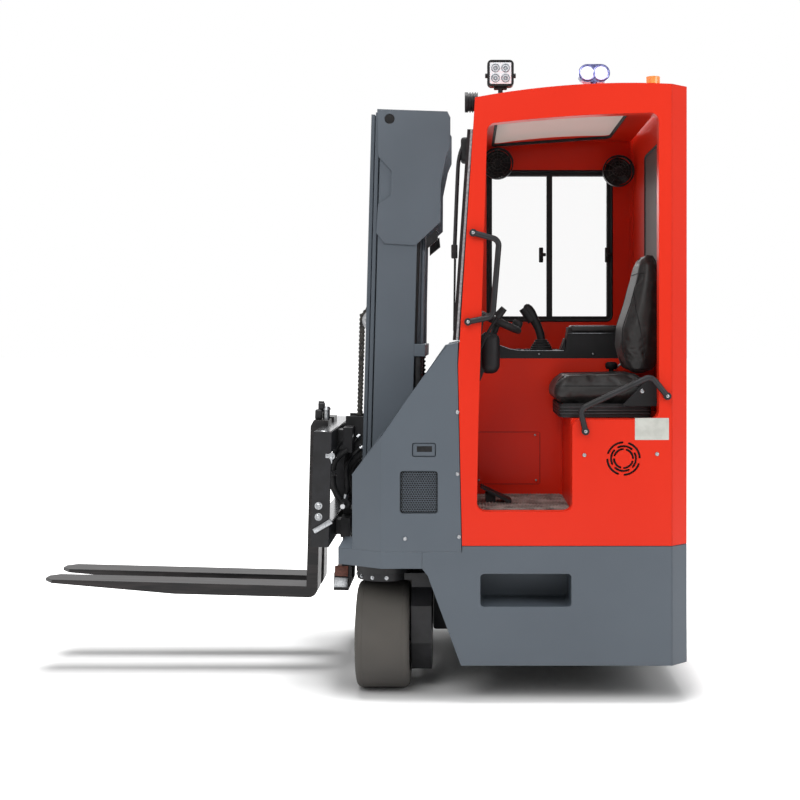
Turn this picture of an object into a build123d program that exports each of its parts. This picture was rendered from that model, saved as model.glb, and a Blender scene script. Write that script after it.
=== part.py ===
"""Multidirectional fork truck with a full cab, three steered wheels and a three-stage mast.

Millimetres. +X points forward to the fork tips, +Y to the driver's left and +Z up. The origin
lies on the floor under the middle of the truck's length and width. Mast, carriage and forks are
drawn upright and then leaned back about the mast's pivot, as the truck parks.
"""

from build123d import *
import os

# Overall body
width = 1200.0
rear_x = -1272.0
corner_run_x = 65.0
corner_run_y = 55.0
skirt_low_z = 140.0
base_top_z = 582.0
seam = 2.0

# Base plates and entry step
skirt_plate = 15.0
frame_plate = 16.0
bulkhead_x = -430.0
bulkhead_low_z = 200.0
weight_front_x = -1145.0
arch_top_x = -282.0
arch_knee_x = -304.0
arch_knee_z = 471.0
arch_slant_x = -311.0
arch_slant_z = 450.0
arch_foot_x = -426.0
step_front_x = -498.0
step_rear_x = -835.0
step_low_z = 358.0
step_high_z = 480.0
step_depth = 185.0
step_wall = 6.0
step_corner = 14.0

# Traction battery
battery_front_x = -705.0
battery_top_z = 1240.0
battery_gap = 30.0

# Front deck over the steered wheels
deck_front_x = 39.0
deck_fold_x = -129.0
deck_corner_y = 100.0
deck_low_z = 499.0
deck_top_z = 561.0
deck_plate = 20.0
deck_rim = 15.0
well_half = 255.0
crossmember_front_x = -285.0

# Front housings
housing_front_x = -17.0
housing_slope_z = 838.0
housing_peak_x = -371.0
housing_peak_z = 1328.0
housing_skin = 6.0
vent_x = -270.0
vent_z = 782.0
vent_length = 140.0
vent_height = 158.0
latch_x = -289.0
latch_z = 939.0
latch_length = 88.0
latch_height = 52.0
recess_depth = 12.0

# Steered wheel units
wheel_radius = 203.0
wheel_width = 203.0
shoulder = 22.0
rim_radius = 140.0
rim_wall = 14.0
rim_disc = 34.0
hub_radius = 60.0
stub_radius = 30.0
running_gap = 0.3
front_pivot_x = -128.0
front_pivot_y = 360.0
rear_pivot_x = -900.0
ring_radius = 110.0
ring_low_z = 450.0
flange_plate = 26.0
case_gap = 6.5
case_depth = 78.0
case_half = 130.0
case_top_z = 396.0
case_foot_half = 52.0
case_foot_z = 78.0
case_shoulder_z = 190.0
neck_half = 70.0

# Mast
mast_lean = 1.5
pivot_x = -165.0
pivot_z = 530.0
pivot_radius = 18.0
mast_half = 240.0
mast_low_z = 425.0
mast_top_z = 2256.0
rail_rear_x = -218.0
rail_depth = 158.0
flange = 15.0
web = 12.0
stage_step = 22.0
slide_gap = 5.0
outer_lip = 33.0
nest_lip = 25.0
middle_lip = 28.0
inner_lip = 28.0
tie_plate = 16.0
tie_setback = 28.0
outer_ties = ((435.0, 545.0), (592.0, 680.0), (1281.0, 1330.0), (2140.0, 2220.0))
middle_ties = ((440.0, 500.0), (1230.0, 1290.0))
inner_ties = ((430.0, 500.0), (1100.0, 1160.0), (2180.0, 2240.0))
cylinder_x = -222.0
cylinder_y = 122.0
barrel_radius = 20.0
rod_radius = 12.0
barrel_shelf_z = 455.0
barrel_collar_z = 1305.0
barrel_top_z = 2060.0
head_bar_z = 2200.0
head_bar_height = 35.0
cover_plate = 6.0
cover_front_x = -45.0
cover_length = 296.0
cover_height = 541.0
cover_rise = 8.0
cover_hole = 20.0

# Free lift and chains
free_x = -62.0
free_radius = 35.0
free_rod = 22.0
free_rod_low_z = 600.0
free_foot = 16.0
pulley_x = -37.0
pulley_z = 1420.0
pulley_radius = 50.0
pulley_width = 20.0
head_drop = 120.0
head_block_low = 32.0
head_block_high = 36.0
chain_y = 57.0
chain_width = 16.0
chain_thick = 10.0
chain_low_z = 900.0

# Carriage, side shift and forks
plate_y = 84.0
plate_thick = 14.0
roller_gap = 0.5
roller_low_z = 720.0
roller_high_z = 960.0
carriage_rear_x = -140.0
carriage_back_x = 24.0
carriage_face_x = 62.0
carriage_low_z = 307.0
carriage_top_z = 1025.0
carriage_neck_z = 650.0
carriage_foot_rear_x = 33.0
carriage_foot_front_x = 94.0
carriage_foot_z = 378.0
carriage_bar_half = 200.0
slide_pad_y = 150.0
slide_pad_gap = 0.4
shift_rear_x = 83.0
shift_front_x = 152.0
shift_half = 435.0
shift_low_z = 543.0
shift_high_z = 985.0
shift_bar = 78.0
shift_plate = 14.0
fork_length = 1070.0
fork_thick = 45.0
fork_width = 120.0
fork_spread = 110.0
fork_low_z = 290.0
fork_tip = 12.0

# Tilt cylinders
tilt_y = 170.0
tilt_z = 636.0
tilt_pin_x = -302.0
tilt_pin_radius = 8.0
tilt_ear_gap = 16.0
tilt_ear = 12.0
tilt_ear_half = 26.0
tilt_eye = 11.0
tilt_eye_radius = 28.0
tilt_eye_bore = 18.0
tilt_rod_radius = 13.0
tilt_barrel_radius = 30.0
tilt_barrel_rear_x = -640.0
tilt_rod_rear_x = -500.0
tilt_barrel_front_x = -400.0

# Cab shell
wall = 50.0
side_knee_x = -415.0
side_knee_z = 1250.0
side_top_x = -478.0
roof_front_z = 2245.0
roof_mid_x = -866.0
roof_mid_z = 2293.0
roof_rear_z = 2295.0
roof_thick = 36.0
header_depth = 62.0
door_front_x = -485.0
door_front_top_x = -524.0
door_sill_z = 710.0
door_step_x = -838.0
seat_deck_z = 1052.0
door_rear_x = -1159.0
door_front_high_z = 2147.0
door_mid_high_z = 2176.0
door_rear_high_z = 2188.0
door_corner = 32.0
window_front_x = -545.0
window_rear_x = -1124.0
window_low_z = 1428.0
window_high_z = 2125.0
window_corner = 26.0
window_frame = 22.0
window_frame_depth = 30.0
mullion = 26.0
rear_window_low_z = 1500.0
rear_window_high_z = 2135.0
rear_window_edge = 120.0
rear_window_right_y = -170.0
skylight_front_x = -567.0
skylight_rear_x = -1100.0
skylight_left_y = 220.0
skylight_edge = 87.0
skylight_corner = 45.0
glass = 6.0
cowl_plate = 25.0
cowl_rise = 80.0
round_vent_x = -1028.0
round_vent_z = 907.0
round_vent_slot = 8.0
round_vent_depth = 12.0
round_vent_rings = ((60.0, 20.0), (46.0, 65.0), (35.0, 20.0))
round_vent_sweep = 66.0

# Roof lamps
lamp_x = -575.0
lamp_edge = 100.0
lamp_half = 50.0
lamp_thick = 36.0
lamp_post = 9.0
lens_rim = 7.0
lens_depth = 3.0
lamp_fin = 4.0
lamp_fins = 4
front_lamp_edge = 150.0
front_lamp_rise = 9.0
front_lamp_radius = 38.0
front_lamp_length = 50.0
lamp_rise = 107.0
twin_x = -932.0
twin_rise = 67.0
twin_radius = 34.0
twin_pitch = 52.0
twin_edge = 140.0
twin_thick = 44.0
beacon_x = -1168.0
beacon_edge = 200.0
beacon_radius = 27.0
beacon_rise = 66.0

# Cab inside
fan_edge = 80.0
fan_radius = 72.0
fan_ring = 6.0
fan_depth = 34.0
fan_hub_radius = 26.0
fan_blades = 5
fan_blade_pitch = 28.0
fan_spots = ((-590.0, 2146.0), (-1142.0, 2112.0))
floor_plate = 20.0
aisle_plate = 12.0
console_low_z = 1268.0
console_thick = 31.0
arm_front_x = -851.0
arm_rear_x = -1105.0
arm_top_z = 1396.0
arm_width = 110.0
lever_x = -757.0
lever_boot = 34.0
lever_radius = 13.0
lever_bend = 30.0
lever_reach = 45.0
lever_rise = 141.0
grip_radius = 19.0
grip_length = 66.0
grip_tilt = 35.0
seat_left_room = 10.0
seat_right_room = 15.0
seat_width = 410.0
cushion_front_x = -757.0
cushion_rear_x = -1155.0
cushion_low_z = 1106.0
cushion_high_z = 1214.0
pedal_front_x = -500.0
pedal_rear_x = -622.0
pedal_rise = 68.0
bellows_ribs = 4
back_front_x = -1043.0
back_depth = 141.0
back_height = 482.0
back_inset = 20.0
pod_gap = 20.0
pod_drop = 62.0
pod_length = 106.0
pod_height = 188.0
pod_half = 85.0
wheel_tilt = 23.5
hand_wheel_x = -572.0
hand_wheel_rise = 165.0
hand_wheel_radius = 84.0
hand_wheel_tube = 10.0
handle_radius = 11.0
handle_out = 12.0
handle_bend = 28.0
front_handle = ((-452.0, 1413.0), (-543.0, 1432.0), (-567.0, 1716.0), (-471.0, 1742.0))
rear_handle = ((-886.0, 1009.0), (-866.0, 1091.0), (-1128.0, 1213.0), (-1188.0, 1139.0))

half = width / 2
inner_half = half - skirt_plate
fold_x = rear_x + corner_run_x
cab_half = half - wall
rear_inner_x = rear_x + wall
seat_y = cab_half - seat_left_room - seat_width / 2
aisle_y = seat_y - seat_width / 2 - seat_right_room
skylight_right_y = skylight_edge - cab_half
rear_window_left_y = cab_half - rear_window_edge
fan_y = fan_edge - cab_half
cowl_top_z = side_knee_z + cowl_rise
hand_wheel_z = side_knee_z + hand_wheel_rise
lamp_z = roof_front_z + lamp_rise
twin_z = roof_mid_z + twin_rise
free_top_z = pulley_z - head_block_low - head_drop - slide_gap

# Outlines as shares of a named length and height, from the first corner
cover_outline = (
    (0.0, 0.0),
    (0.946, 0.004),
    (0.99, 0.048),
    (1.0, 0.266),
    (0.949, 0.338),
    (0.885, 0.536),
    (0.895, 0.819),
    (0.564, 1.0),
    (0.142, 0.991),
    (0.03, 0.915),
    (0.044, 0.701),
    (0.209, 0.634),
    (0.216, 0.457),
    (0.03, 0.351),
)
pod_outline = (
    (0.0, 0.011),
    (0.377, 0.0),
    (0.943, 0.755),
    (1.0, 0.947),
    (0.566, 1.0),
    (0.0, 0.681),
)
back_outline = (
    (0.177, 0.0),
    (0.014, 0.166),
    (0.0, 0.27),
    (0.135, 0.436),
    (0.433, 0.726),
    (0.546, 0.944),
    (0.73, 1.0),
    (0.915, 0.959),
    (1.0, 0.622),
    (0.943, 0.0),
)


def box(x0, x1, y0, y1, z0, z1):
    """A box between two corners."""
    centre = ((x0 + x1) / 2, (y0 + y1) / 2, (z0 + z1) / 2)
    return Pos(*centre) * Box(abs(x1 - x0), abs(y1 - y0), abs(z1 - z0))


def side_prism(points, y0, y1):
    """A closed XZ outline carried across the truck from y0 to y1."""
    face = make_face(Polyline(*[(x, y0, z) for x, z in points], close=True))
    return extrude(face, amount=y1 - y0, dir=(0, 1, 0))


def plan_prism(points, z0, z1):
    """A closed XY outline carried up from z0 to z1."""
    face = make_face(Polyline(*[(x, y, z0) for x, y in points], close=True))
    return extrude(face, amount=z1 - z0, dir=(0, 0, 1))


def front_prism(points, x0, x1):
    """A closed YZ outline carried forward from x0 to x1."""
    face = make_face(Polyline(*[(x0, y, z) for y, z in points], close=True))
    return extrude(face, amount=x1 - x0, dir=(1, 0, 0))


def upright(x, y, radius, z0, z1):
    """A round bar standing from z0 to z1."""
    return Pos(x, y, (z0 + z1) / 2) * Cylinder(radius, z1 - z0)


def crossways(x, z, radius, y0, y1):
    """A round bar lying across the truck."""
    return Pos(x, (y0 + y1) / 2, z) * Rot(90, 0, 0) * Cylinder(radius, abs(y1 - y0))


def lengthways(y, z, radius, x0, x1):
    """A round bar lying along the truck."""
    return Pos((x0 + x1) / 2, y, z) * Rot(0, 90, 0) * Cylinder(radius, abs(x1 - x0))


def rounded_along(shape, axis, radius):
    """The shape with its edges along one axis rounded."""
    return fillet(shape.edges().filter_by(axis), radius)


def mirrored(shape):
    """The same shape on the other side of the truck."""
    return mirror(shape, about=Plane.XZ)


def group(*shapes):
    """Several shapes as one compound of separate solids."""
    return Compound(children=[solid for shape in shapes for solid in shape.solids()])


def both_sides(shape):
    """The shape and its mirror image."""
    return group(shape, mirrored(shape))


def leaned(shape):
    """Turns a mast piece back about the mast's pivot."""
    turn = Pos(pivot_x, 0, pivot_z) * Rot(0, -mast_lean, 0) * Pos(-pivot_x, 0, -pivot_z)
    return group(*[turn * solid for solid in shape.solids()])


def tube(points, corner, radius):
    """A bent round bar through the points, with rounded corners."""
    path = FilletPolyline(*points, radius=corner)
    section = Plane(origin=path @ 0, z_dir=path % 0) * Circle(radius)
    return sweep(section, path=path)


# Base
def chassis_frame():
    """Top plate of the base, front bulkhead, rear wheel ring and the cross-member for the mast."""
    low = base_top_z - frame_plate
    side = inner_half - running_gap
    plate = box(weight_front_x + seam, bulkhead_x, -side, side, low, base_top_z)
    bulkhead = box(bulkhead_x - frame_plate, bulkhead_x, -side, side, bulkhead_low_z, base_top_z)
    ring = upright(rear_pivot_x, 0, ring_radius, ring_low_z, low + 1)
    cross = box(
        bulkhead_x - 1,
        crossmember_front_x,
        -well_half + running_gap,
        well_half - running_gap,
        arch_knee_z,
        deck_top_z,
    )
    beams = box(weight_front_x + seam, bulkhead_x, ring_radius, ring_radius + 30, low - 60, low + 1)
    return plate + bulkhead + ring + cross + beams + mirrored(beams)


def skirt():
    """One side plate of the base, with the slanted edge of the wheel arch."""
    return side_prism(
        [
            (fold_x, skirt_low_z),
            (fold_x, base_top_z),
            (bulkhead_x, base_top_z),
            (bulkhead_x, deck_top_z),
            (arch_top_x, deck_top_z),
            (arch_top_x, deck_low_z),
            (arch_knee_x, arch_knee_z),
            (arch_slant_x, arch_slant_z),
            (arch_foot_x, skirt_low_z),
        ],
        inner_half,
        half,
    )


def skirt_left():
    """The side plate with the entry step's tray behind its opening."""
    back = inner_half - step_depth
    opening = box(step_rear_x, step_front_x, back, half + 1, step_low_z, step_high_z)
    opening = rounded_along(opening, Axis.Y, step_corner)
    tray = box(
        step_rear_x - step_wall,
        step_front_x + step_wall,
        back - step_wall,
        inner_half + 1,
        step_low_z - step_wall,
        step_high_z + step_wall,
    )
    return skirt() + tray - opening


def counterweight():
    """The cast weight across the rear, with both rear corners cut off."""
    return plan_prism(
        [
            (weight_front_x, inner_half - running_gap),
            (fold_x - running_gap, inner_half - running_gap),
            (fold_x - running_gap, half),
            (rear_x, half - corner_run_y),
            (rear_x, corner_run_y - half),
            (fold_x - running_gap, -half),
            (fold_x - running_gap, running_gap - inner_half),
            (weight_front_x, running_gap - inner_half),
        ],
        skirt_low_z,
        base_top_z,
    )


def battery():
    """The traction battery beside the seat, as one block standing on the base."""
    return box(
        rear_inner_x + battery_gap,
        battery_front_x,
        battery_gap / 3 - cab_half,
        aisle_y - battery_gap,
        base_top_z,
        battery_top_z,
    )


def deck():
    """One wing of the front deck: a rimmed plate with its slewing ring and the mast's pin."""
    outline = [
        (bulkhead_x + running_gap, inner_half - running_gap),
        (arch_top_x + running_gap, inner_half - running_gap),
        (arch_top_x + running_gap, half),
        (deck_fold_x, half),
        (deck_front_x, half - deck_corner_y),
        (deck_front_x, well_half),
        (bulkhead_x + running_gap, well_half),
    ]
    wing = plan_prism(outline, deck_low_z, deck_top_z)
    under = plan_prism(
        [
            (bulkhead_x + deck_rim, inner_half - deck_rim),
            (deck_fold_x, inner_half - deck_rim / 2),
            (deck_front_x - deck_rim, half - deck_corner_y - deck_rim / 2),
            (deck_front_x - deck_rim, well_half + deck_rim),
            (bulkhead_x + deck_rim, well_half + deck_rim),
        ],
        deck_low_z - 1,
        deck_top_z - deck_plate,
    )
    ring = upright(front_pivot_x, front_pivot_y, ring_radius, ring_low_z, deck_top_z - 1)
    pin = crossways(pivot_x, pivot_z, pivot_radius, mast_half - web - 2, well_half + 1)
    return wing - under + ring + pin


def housing_form(inset, side_inset):
    """The form of one front cover, drawn in by an inset so that the cover gets its walls."""
    rise = deck_corner_y * (housing_front_x - deck_fold_x) / (deck_front_x - deck_fold_x)
    corner = half - rise - side_inset
    body = side_prism(
        [
            (bulkhead_x + seam + inset, deck_top_z),
            (side_knee_x + seam + inset, side_knee_z),
            (side_knee_x + inset, housing_peak_z + 8 - inset),
            (housing_peak_x, housing_peak_z - inset),
            (housing_front_x - inset, housing_slope_z - inset),
            (housing_front_x - inset, deck_top_z),
        ],
        well_half + inset,
        half - side_inset,
    )
    chamfer_cut = plan_prism(
        [
            (deck_fold_x, half - side_inset),
            (deck_fold_x, half + 50),
            (housing_front_x + 50, half + 50),
            (housing_front_x + 50, corner),
            (housing_front_x, corner),
        ],
        deck_top_z - 10,
        housing_peak_z + 50,
    )
    return body - chamfer_cut


def recess(x, z, length, height, corner):
    """A rounded block that sinks a recess into the cover's side."""
    block = box(
        x - length / 2, x + length / 2, half - recess_depth, half + 1, z - height / 2, z + height / 2
    )
    return rounded_along(block, Axis.Y, corner)


def housing():
    """One front cover, sloped down to the front, with vent and latch recesses in its side."""
    cover = housing_form(0.0, 0.0) - housing_form(housing_skin, recess_depth + housing_skin)
    vent = recess(vent_x, vent_z, vent_length, vent_height, 12)
    latch = recess(latch_x, latch_z, latch_length, latch_height, 8)
    return cover - vent - latch


# Steered wheels
def steer_unit(x, y):
    """Slewing flange, gear case and stub axle of one wheel. The case stands behind the wheel."""
    flange_top = ring_low_z - running_gap
    flange_low = flange_top - flange_plate
    case_front = x - wheel_width / 2 - case_gap
    case_rear = case_front - case_depth
    plate = upright(x, y, ring_radius - 4, flange_low, flange_top)
    case = front_prism(
        [
            (y - neck_half, case_top_z),
            (y + neck_half, case_top_z),
            (y + case_half, case_top_z - 60),
            (y + case_half - 20, case_shoulder_z),
            (y + case_foot_half, case_foot_z),
            (y - case_foot_half, case_foot_z),
            (y - case_half + 20, case_shoulder_z),
            (y - case_half, case_top_z - 60),
        ],
        case_rear,
        case_front,
    )
    neck = box(case_rear, case_front, y - neck_half, y + neck_half, case_top_z - 1, flange_top)
    bridge = box(case_front - 1, x, y - neck_half, y + neck_half, flange_low, flange_top)
    stub = lengthways(y, wheel_radius, stub_radius, case_front - 10, x + wheel_width / 4)
    return plate + case + neck + bridge + stub


def tyre(x, y):
    """A solid band tyre with rounded shoulders."""
    ring = lengthways(y, wheel_radius, wheel_radius, x - wheel_width / 2, x + wheel_width / 2)
    ring = fillet(ring.edges().filter_by(GeomType.CIRCLE), shoulder)
    bore = rim_radius + running_gap
    return ring - lengthways(y, wheel_radius, bore, x - wheel_width, x + wheel_width)


def rim(x, y):
    """The steel rim with its disc and hub, bored for the stub axle."""
    z = wheel_radius
    reach = wheel_width / 2 - 8
    band = lengthways(y, z, rim_radius, x - reach, x + reach)
    band = band - lengthways(y, z, rim_radius - rim_wall, x - wheel_width, x + wheel_width)
    disc = lengthways(y, z, rim_radius - rim_wall + 1, x - rim_disc / 2, x + rim_disc / 2)
    hub = lengthways(y, z, hub_radius, x - reach, x + wheel_width / 4 + 14)
    bore = lengthways(y, z, stub_radius + running_gap, x - wheel_width, x + wheel_width / 4 + 1)
    return band + disc + hub - bore


# Mast. Each stage: how many steps forward, outer and inner face of its web, and its lip tips
def stages():
    """Section places of the outer, middle and inner rails on the left side."""
    outer_tip = mast_half - web - outer_lip
    middle_web = outer_tip - slide_gap
    middle_tip = middle_web - web - middle_lip
    inner_web = middle_tip - slide_gap
    inner_tip = inner_web - web - inner_lip
    return [
        (0, mast_half, mast_half, outer_tip),
        (1, middle_web, middle_web + nest_lip, middle_tip),
        (2, inner_web, inner_web + nest_lip - slide_gap, inner_tip),
    ]


def rails(stage):
    """The two rails of one stage."""
    step, web_face, tip_out, tip_in = stages()[stage]
    rear = rail_rear_x + step * stage_step
    front = rear + rail_depth
    back_lip = box(rear, rear + flange, tip_in, tip_out, mast_low_z, mast_top_z)
    front_lip = box(front - flange, front, tip_in, tip_out, mast_low_z, mast_top_z)
    rail = box(rear + 1, front - 1, web_face - web, web_face, mast_low_z, mast_top_z)
    rail = rail + back_lip + front_lip
    if step:
        lip_front = front - stage_step
        for low in (mast_low_z + 15, mast_low_z + 285):
            pad = box(
                lip_front - flange + 2,
                lip_front - 2,
                web_face - 1,
                web_face + slide_gap - running_gap,
                low,
                low + 100,
            )
            rail = rail + pad
    return rail


def outer_rails():
    """The fixed rails, bored at the foot for the deck's pins."""
    hole = crossways(pivot_x, pivot_z, pivot_radius + running_gap, mast_half - web - 5, mast_half + 5)
    return leaned(both_sides(rails(0) - hole))


def outer_frame():
    """Rear ties of the fixed rails, ears for the tilt rods and the two lift barrels."""
    tip = stages()[0][3]
    back = rail_rear_x - tie_setback - tie_plate
    frame = None
    for low, high in outer_ties:
        tie = box(back, back + tie_plate, -mast_half, mast_half, low, high)
        cheek = box(back, rail_rear_x, tip, mast_half, low, high)
        piece = tie + cheek + mirrored(cheek)
        frame = piece if frame is None else frame + piece
    y0 = cylinder_y - barrel_radius - 2
    y1 = cylinder_y + barrel_radius + 2
    shelf = box(back, cylinder_x + barrel_radius, y0, y1, outer_ties[0][0], barrel_shelf_z)
    barrel = upright(cylinder_x, cylinder_y, barrel_radius, barrel_shelf_z - 1, barrel_top_z)
    collar = box(
        back,
        cylinder_x,
        cylinder_y - barrel_radius + 5,
        cylinder_y + barrel_radius - 5,
        barrel_collar_z - 15,
        barrel_collar_z + 15,
    )
    bore = upright(
        cylinder_x, cylinder_y, rod_radius + running_gap, barrel_shelf_z + 5, barrel_top_z + 1
    )
    side = shelf + barrel + collar - bore
    reach = tilt_ear_gap / 2 + tilt_ear / 2
    ears = crossways(tilt_pin_x, tilt_z, tilt_pin_radius, tilt_y - reach, tilt_y + reach)
    for y in (tilt_y - reach, tilt_y + reach):
        ears = ears + box(
            tilt_pin_x - 20,
            back,
            y - tilt_ear / 2,
            y + tilt_ear / 2,
            tilt_z - tilt_ear_half,
            tilt_z + tilt_ear_half,
        )
    stand = leaned(frame + side + mirrored(side))
    return group(stand + ears + mirrored(ears))


def mast_covers():
    """The two notched cover plates beside the mast head."""
    top = mast_top_z + cover_rise
    outline = [
        (cover_front_x - along * cover_length, top - down * cover_height)
        for along, down in cover_outline
    ]
    inside = mast_half + running_gap
    plate = side_prism(outline, inside, inside + cover_plate)
    hole_x = cover_front_x - 0.17 * cover_length
    hole_z = top - 0.07 * cover_height
    hole = crossways(hole_x, hole_z, cover_hole, inside - 5, inside + cover_plate + 5)
    return leaned(both_sides(plate - hole))


def middle_rails():
    """The rails of the middle stage."""
    return leaned(both_sides(rails(1)))


def middle_frame():
    """Ties of the middle stage and the two lift rods under its head bar."""
    step, _, _, tip_in = stages()[1]
    rear = rail_rear_x + step * stage_step
    front = rear + flange
    frame = box(
        cylinder_x - 18, front, -tip_in, tip_in, head_bar_z, head_bar_z + head_bar_height
    )
    for low, high in middle_ties:
        frame = group(frame, box(rear, front, -tip_in, tip_in, low, high))
    rod = upright(cylinder_x, cylinder_y, rod_radius, barrel_shelf_z + 20, head_bar_z + 1)
    head = frame.solids()[0] + rod + mirrored(rod)
    return leaned(group(head, *frame.solids()[1:]))


def inner_rails():
    """The rails of the inner stage, in which the carriage runs."""
    return leaned(both_sides(rails(2)))


def inner_frame():
    """Ties of the inner stage with the free-lift barrel standing on its foot."""
    step, _, _, tip_in = stages()[2]
    rear = rail_rear_x + step * stage_step
    front = rear + flange - 1
    ties = [box(rear, front, -tip_in, tip_in, low, high) for low, high in inner_ties]
    low, high = inner_ties[0]
    foot_top = low + free_foot
    foot = box(rear + 1, free_x + free_radius, -free_radius, free_radius, low, foot_top)
    barrel = upright(free_x, 0, free_radius, foot_top - 1, free_top_z)
    low, high = inner_ties[1]
    collar = box(front - 1, free_x, -12, 12, low + 20, high - 10)
    bore = upright(free_x, 0, free_rod + running_gap, foot_top + 24, free_top_z + 1)
    stand = ties[0] + foot + barrel + collar + ties[1] - bore
    return leaned(group(stand, ties[2]))


def lift_head():
    """Free-lift rod with the two chain pulleys on its head."""
    rod = upright(free_x, 0, free_rod, free_rod_low_z, pulley_z)
    block = box(
        free_x - 30,
        pulley_x + 28,
        -40,
        40,
        pulley_z - head_block_low,
        pulley_z + head_block_high,
    )
    block = rounded_along(block, Axis.Y, 12)
    axle = crossways(pulley_x, pulley_z, 13, -chain_y - 14, chain_y + 14)
    pulley = crossways(
        pulley_x,
        pulley_z,
        pulley_radius - chain_thick / 2 - running_gap,
        chain_y - pulley_width / 2,
        chain_y + pulley_width / 2,
    )
    return leaned(rod + block + axle + pulley + mirrored(pulley))


def chains():
    """The two leaf chains, each laid over its pulley with a strand down in front and behind."""
    outside = pulley_radius + chain_thick / 2
    inside = pulley_radius - chain_thick / 2
    y0 = chain_y - chain_width / 2
    y1 = chain_y + chain_width / 2
    wrap = crossways(pulley_x, pulley_z, outside, y0, y1)
    wrap = wrap - crossways(pulley_x, pulley_z, inside, y0 - 1, y1 + 1)
    wrap = wrap - box(pulley_x - 90, pulley_x + 90, y0 - 1, y1 + 1, pulley_z - 90, pulley_z)
    front = box(pulley_x + inside, pulley_x + outside, y0, y1, chain_low_z, pulley_z)
    rear = box(pulley_x - outside, pulley_x - inside, y0, y1, chain_low_z + 250, pulley_z)
    return leaned(both_sides(wrap + front + rear))


# Carriage and forks
def carriage():
    """Roller plates and cross bars that run in the inner rails."""
    plate = side_prism(
        [
            (carriage_rear_x, carriage_neck_z),
            (carriage_rear_x, carriage_top_z - 15),
            (carriage_rear_x + 15, carriage_top_z),
            (carriage_face_x, carriage_top_z),
            (carriage_face_x, carriage_foot_z + 22),
            (carriage_foot_front_x, carriage_foot_z),
            (carriage_foot_front_x, carriage_low_z),
            (carriage_foot_rear_x, carriage_low_z),
            (carriage_back_x, carriage_low_z + 23),
            (carriage_back_x, carriage_neck_z - 10),
            (0, carriage_neck_z),
        ],
        plate_y,
        plate_y + plate_thick,
    )
    inner_web = stages()[2][1] - web
    roller_radius = rail_depth / 2 - flange - roller_gap
    roller_x = rail_rear_x + 2 * stage_step + rail_depth / 2
    for z in (roller_low_z, roller_high_z):
        y0 = plate_y + plate_thick
        plate = plate + crossways(roller_x, z, 14, y0 - 1, y0 + 3)
        plate = plate + crossways(roller_x, z, roller_radius, y0 + 2, inner_web - slide_gap)
    frame = plate + mirrored(plate)
    low_bar = (shift_low_z, shift_low_z + shift_bar)
    for low, high in (low_bar, (shift_high_z - 100, shift_high_z)):
        bar = box(carriage_back_x, carriage_face_x, -carriage_bar_half, carriage_bar_half, low, high)
        frame = frame + bar
        for y in (-slide_pad_y, slide_pad_y):
            pad = box(
                carriage_face_x - 1,
                shift_rear_x - slide_pad_gap,
                y - 40,
                y + 40,
                low + 10,
                high - 10,
            )
            frame = frame + pad
    foot = box(
        carriage_foot_rear_x,
        carriage_foot_front_x,
        -plate_y - 1,
        plate_y + 1,
        carriage_low_z,
        carriage_foot_z,
    )
    return leaned(frame + foot)


def shift_frame():
    """The side-shifting fork frame: two bars between end plates."""
    frame = None
    for low in (shift_low_z, shift_high_z - shift_bar):
        high = low + shift_bar
        bar = box(shift_rear_x, shift_front_x - 2, -shift_half + 1, shift_half - 1, low, high)
        frame = bar if frame is None else frame + bar
    end = box(
        shift_rear_x, shift_front_x, shift_half - shift_plate, shift_half, shift_low_z, shift_high_z
    )
    return leaned(frame + end + mirrored(end))


def fork():
    """One fork: a tapered blade, a rounded heel and a shank hooked over the upper bar."""
    back = shift_front_x + running_gap
    face = back + fork_thick
    tip_x = face + fork_length
    top = fork_low_z + fork_thick
    outline = side_prism(
        [
            (back, fork_low_z),
            (back, shift_high_z + 24),
            (face - 12, shift_high_z + 24),
            (face, shift_high_z),
            (face, top),
            (tip_x, top),
            (tip_x, top - fork_tip),
            (face + fork_length * 0.5, fork_low_z),
        ],
        fork_spread - fork_width / 2,
        fork_spread + fork_width / 2,
    )
    heel = [
        edge
        for edge in outline.edges().filter_by(Axis.Y)
        if abs(edge.center().X - back) < 1 and abs(edge.center().Z - fork_low_z) < 1
    ]
    outline = fillet(heel, fork_thick * 0.8)
    hook = box(
        back - 26,
        back + 1,
        fork_spread - fork_width / 2,
        fork_spread + fork_width / 2,
        shift_high_z + running_gap,
        shift_high_z + 24,
    )
    cut = fork_width * 0.3
    nose = plan_prism(
        [
            (tip_x - cut, fork_spread + fork_width / 2),
            (tip_x - cut, fork_spread + fork_width),
            (tip_x + 10, fork_spread + fork_width),
            (tip_x + 10, fork_spread + fork_width / 2 - cut - 10),
        ],
        fork_low_z,
        top + 10,
    )
    blade = outline + hook - nose
    return blade - mirror(nose, about=Plane.XZ.offset(-fork_spread))


def forks():
    """The pair of forks."""
    return leaned(both_sides(fork()))


# Tilt cylinders
def tilt_barrels():
    """The two tilt barrels under the cab floor, on their feet."""
    barrel = lengthways(tilt_y, tilt_z, tilt_barrel_radius, tilt_barrel_rear_x, tilt_barrel_front_x)
    foot = box(
        tilt_barrel_rear_x,
        tilt_barrel_rear_x + 40,
        tilt_y - 20,
        tilt_y + 20,
        base_top_z,
        tilt_z,
    )
    bore = lengthways(
        tilt_y,
        tilt_z,
        tilt_rod_radius + 1,
        tilt_barrel_rear_x + 60,
        tilt_barrel_front_x + 1,
    )
    return both_sides(barrel + foot - bore)


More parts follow.
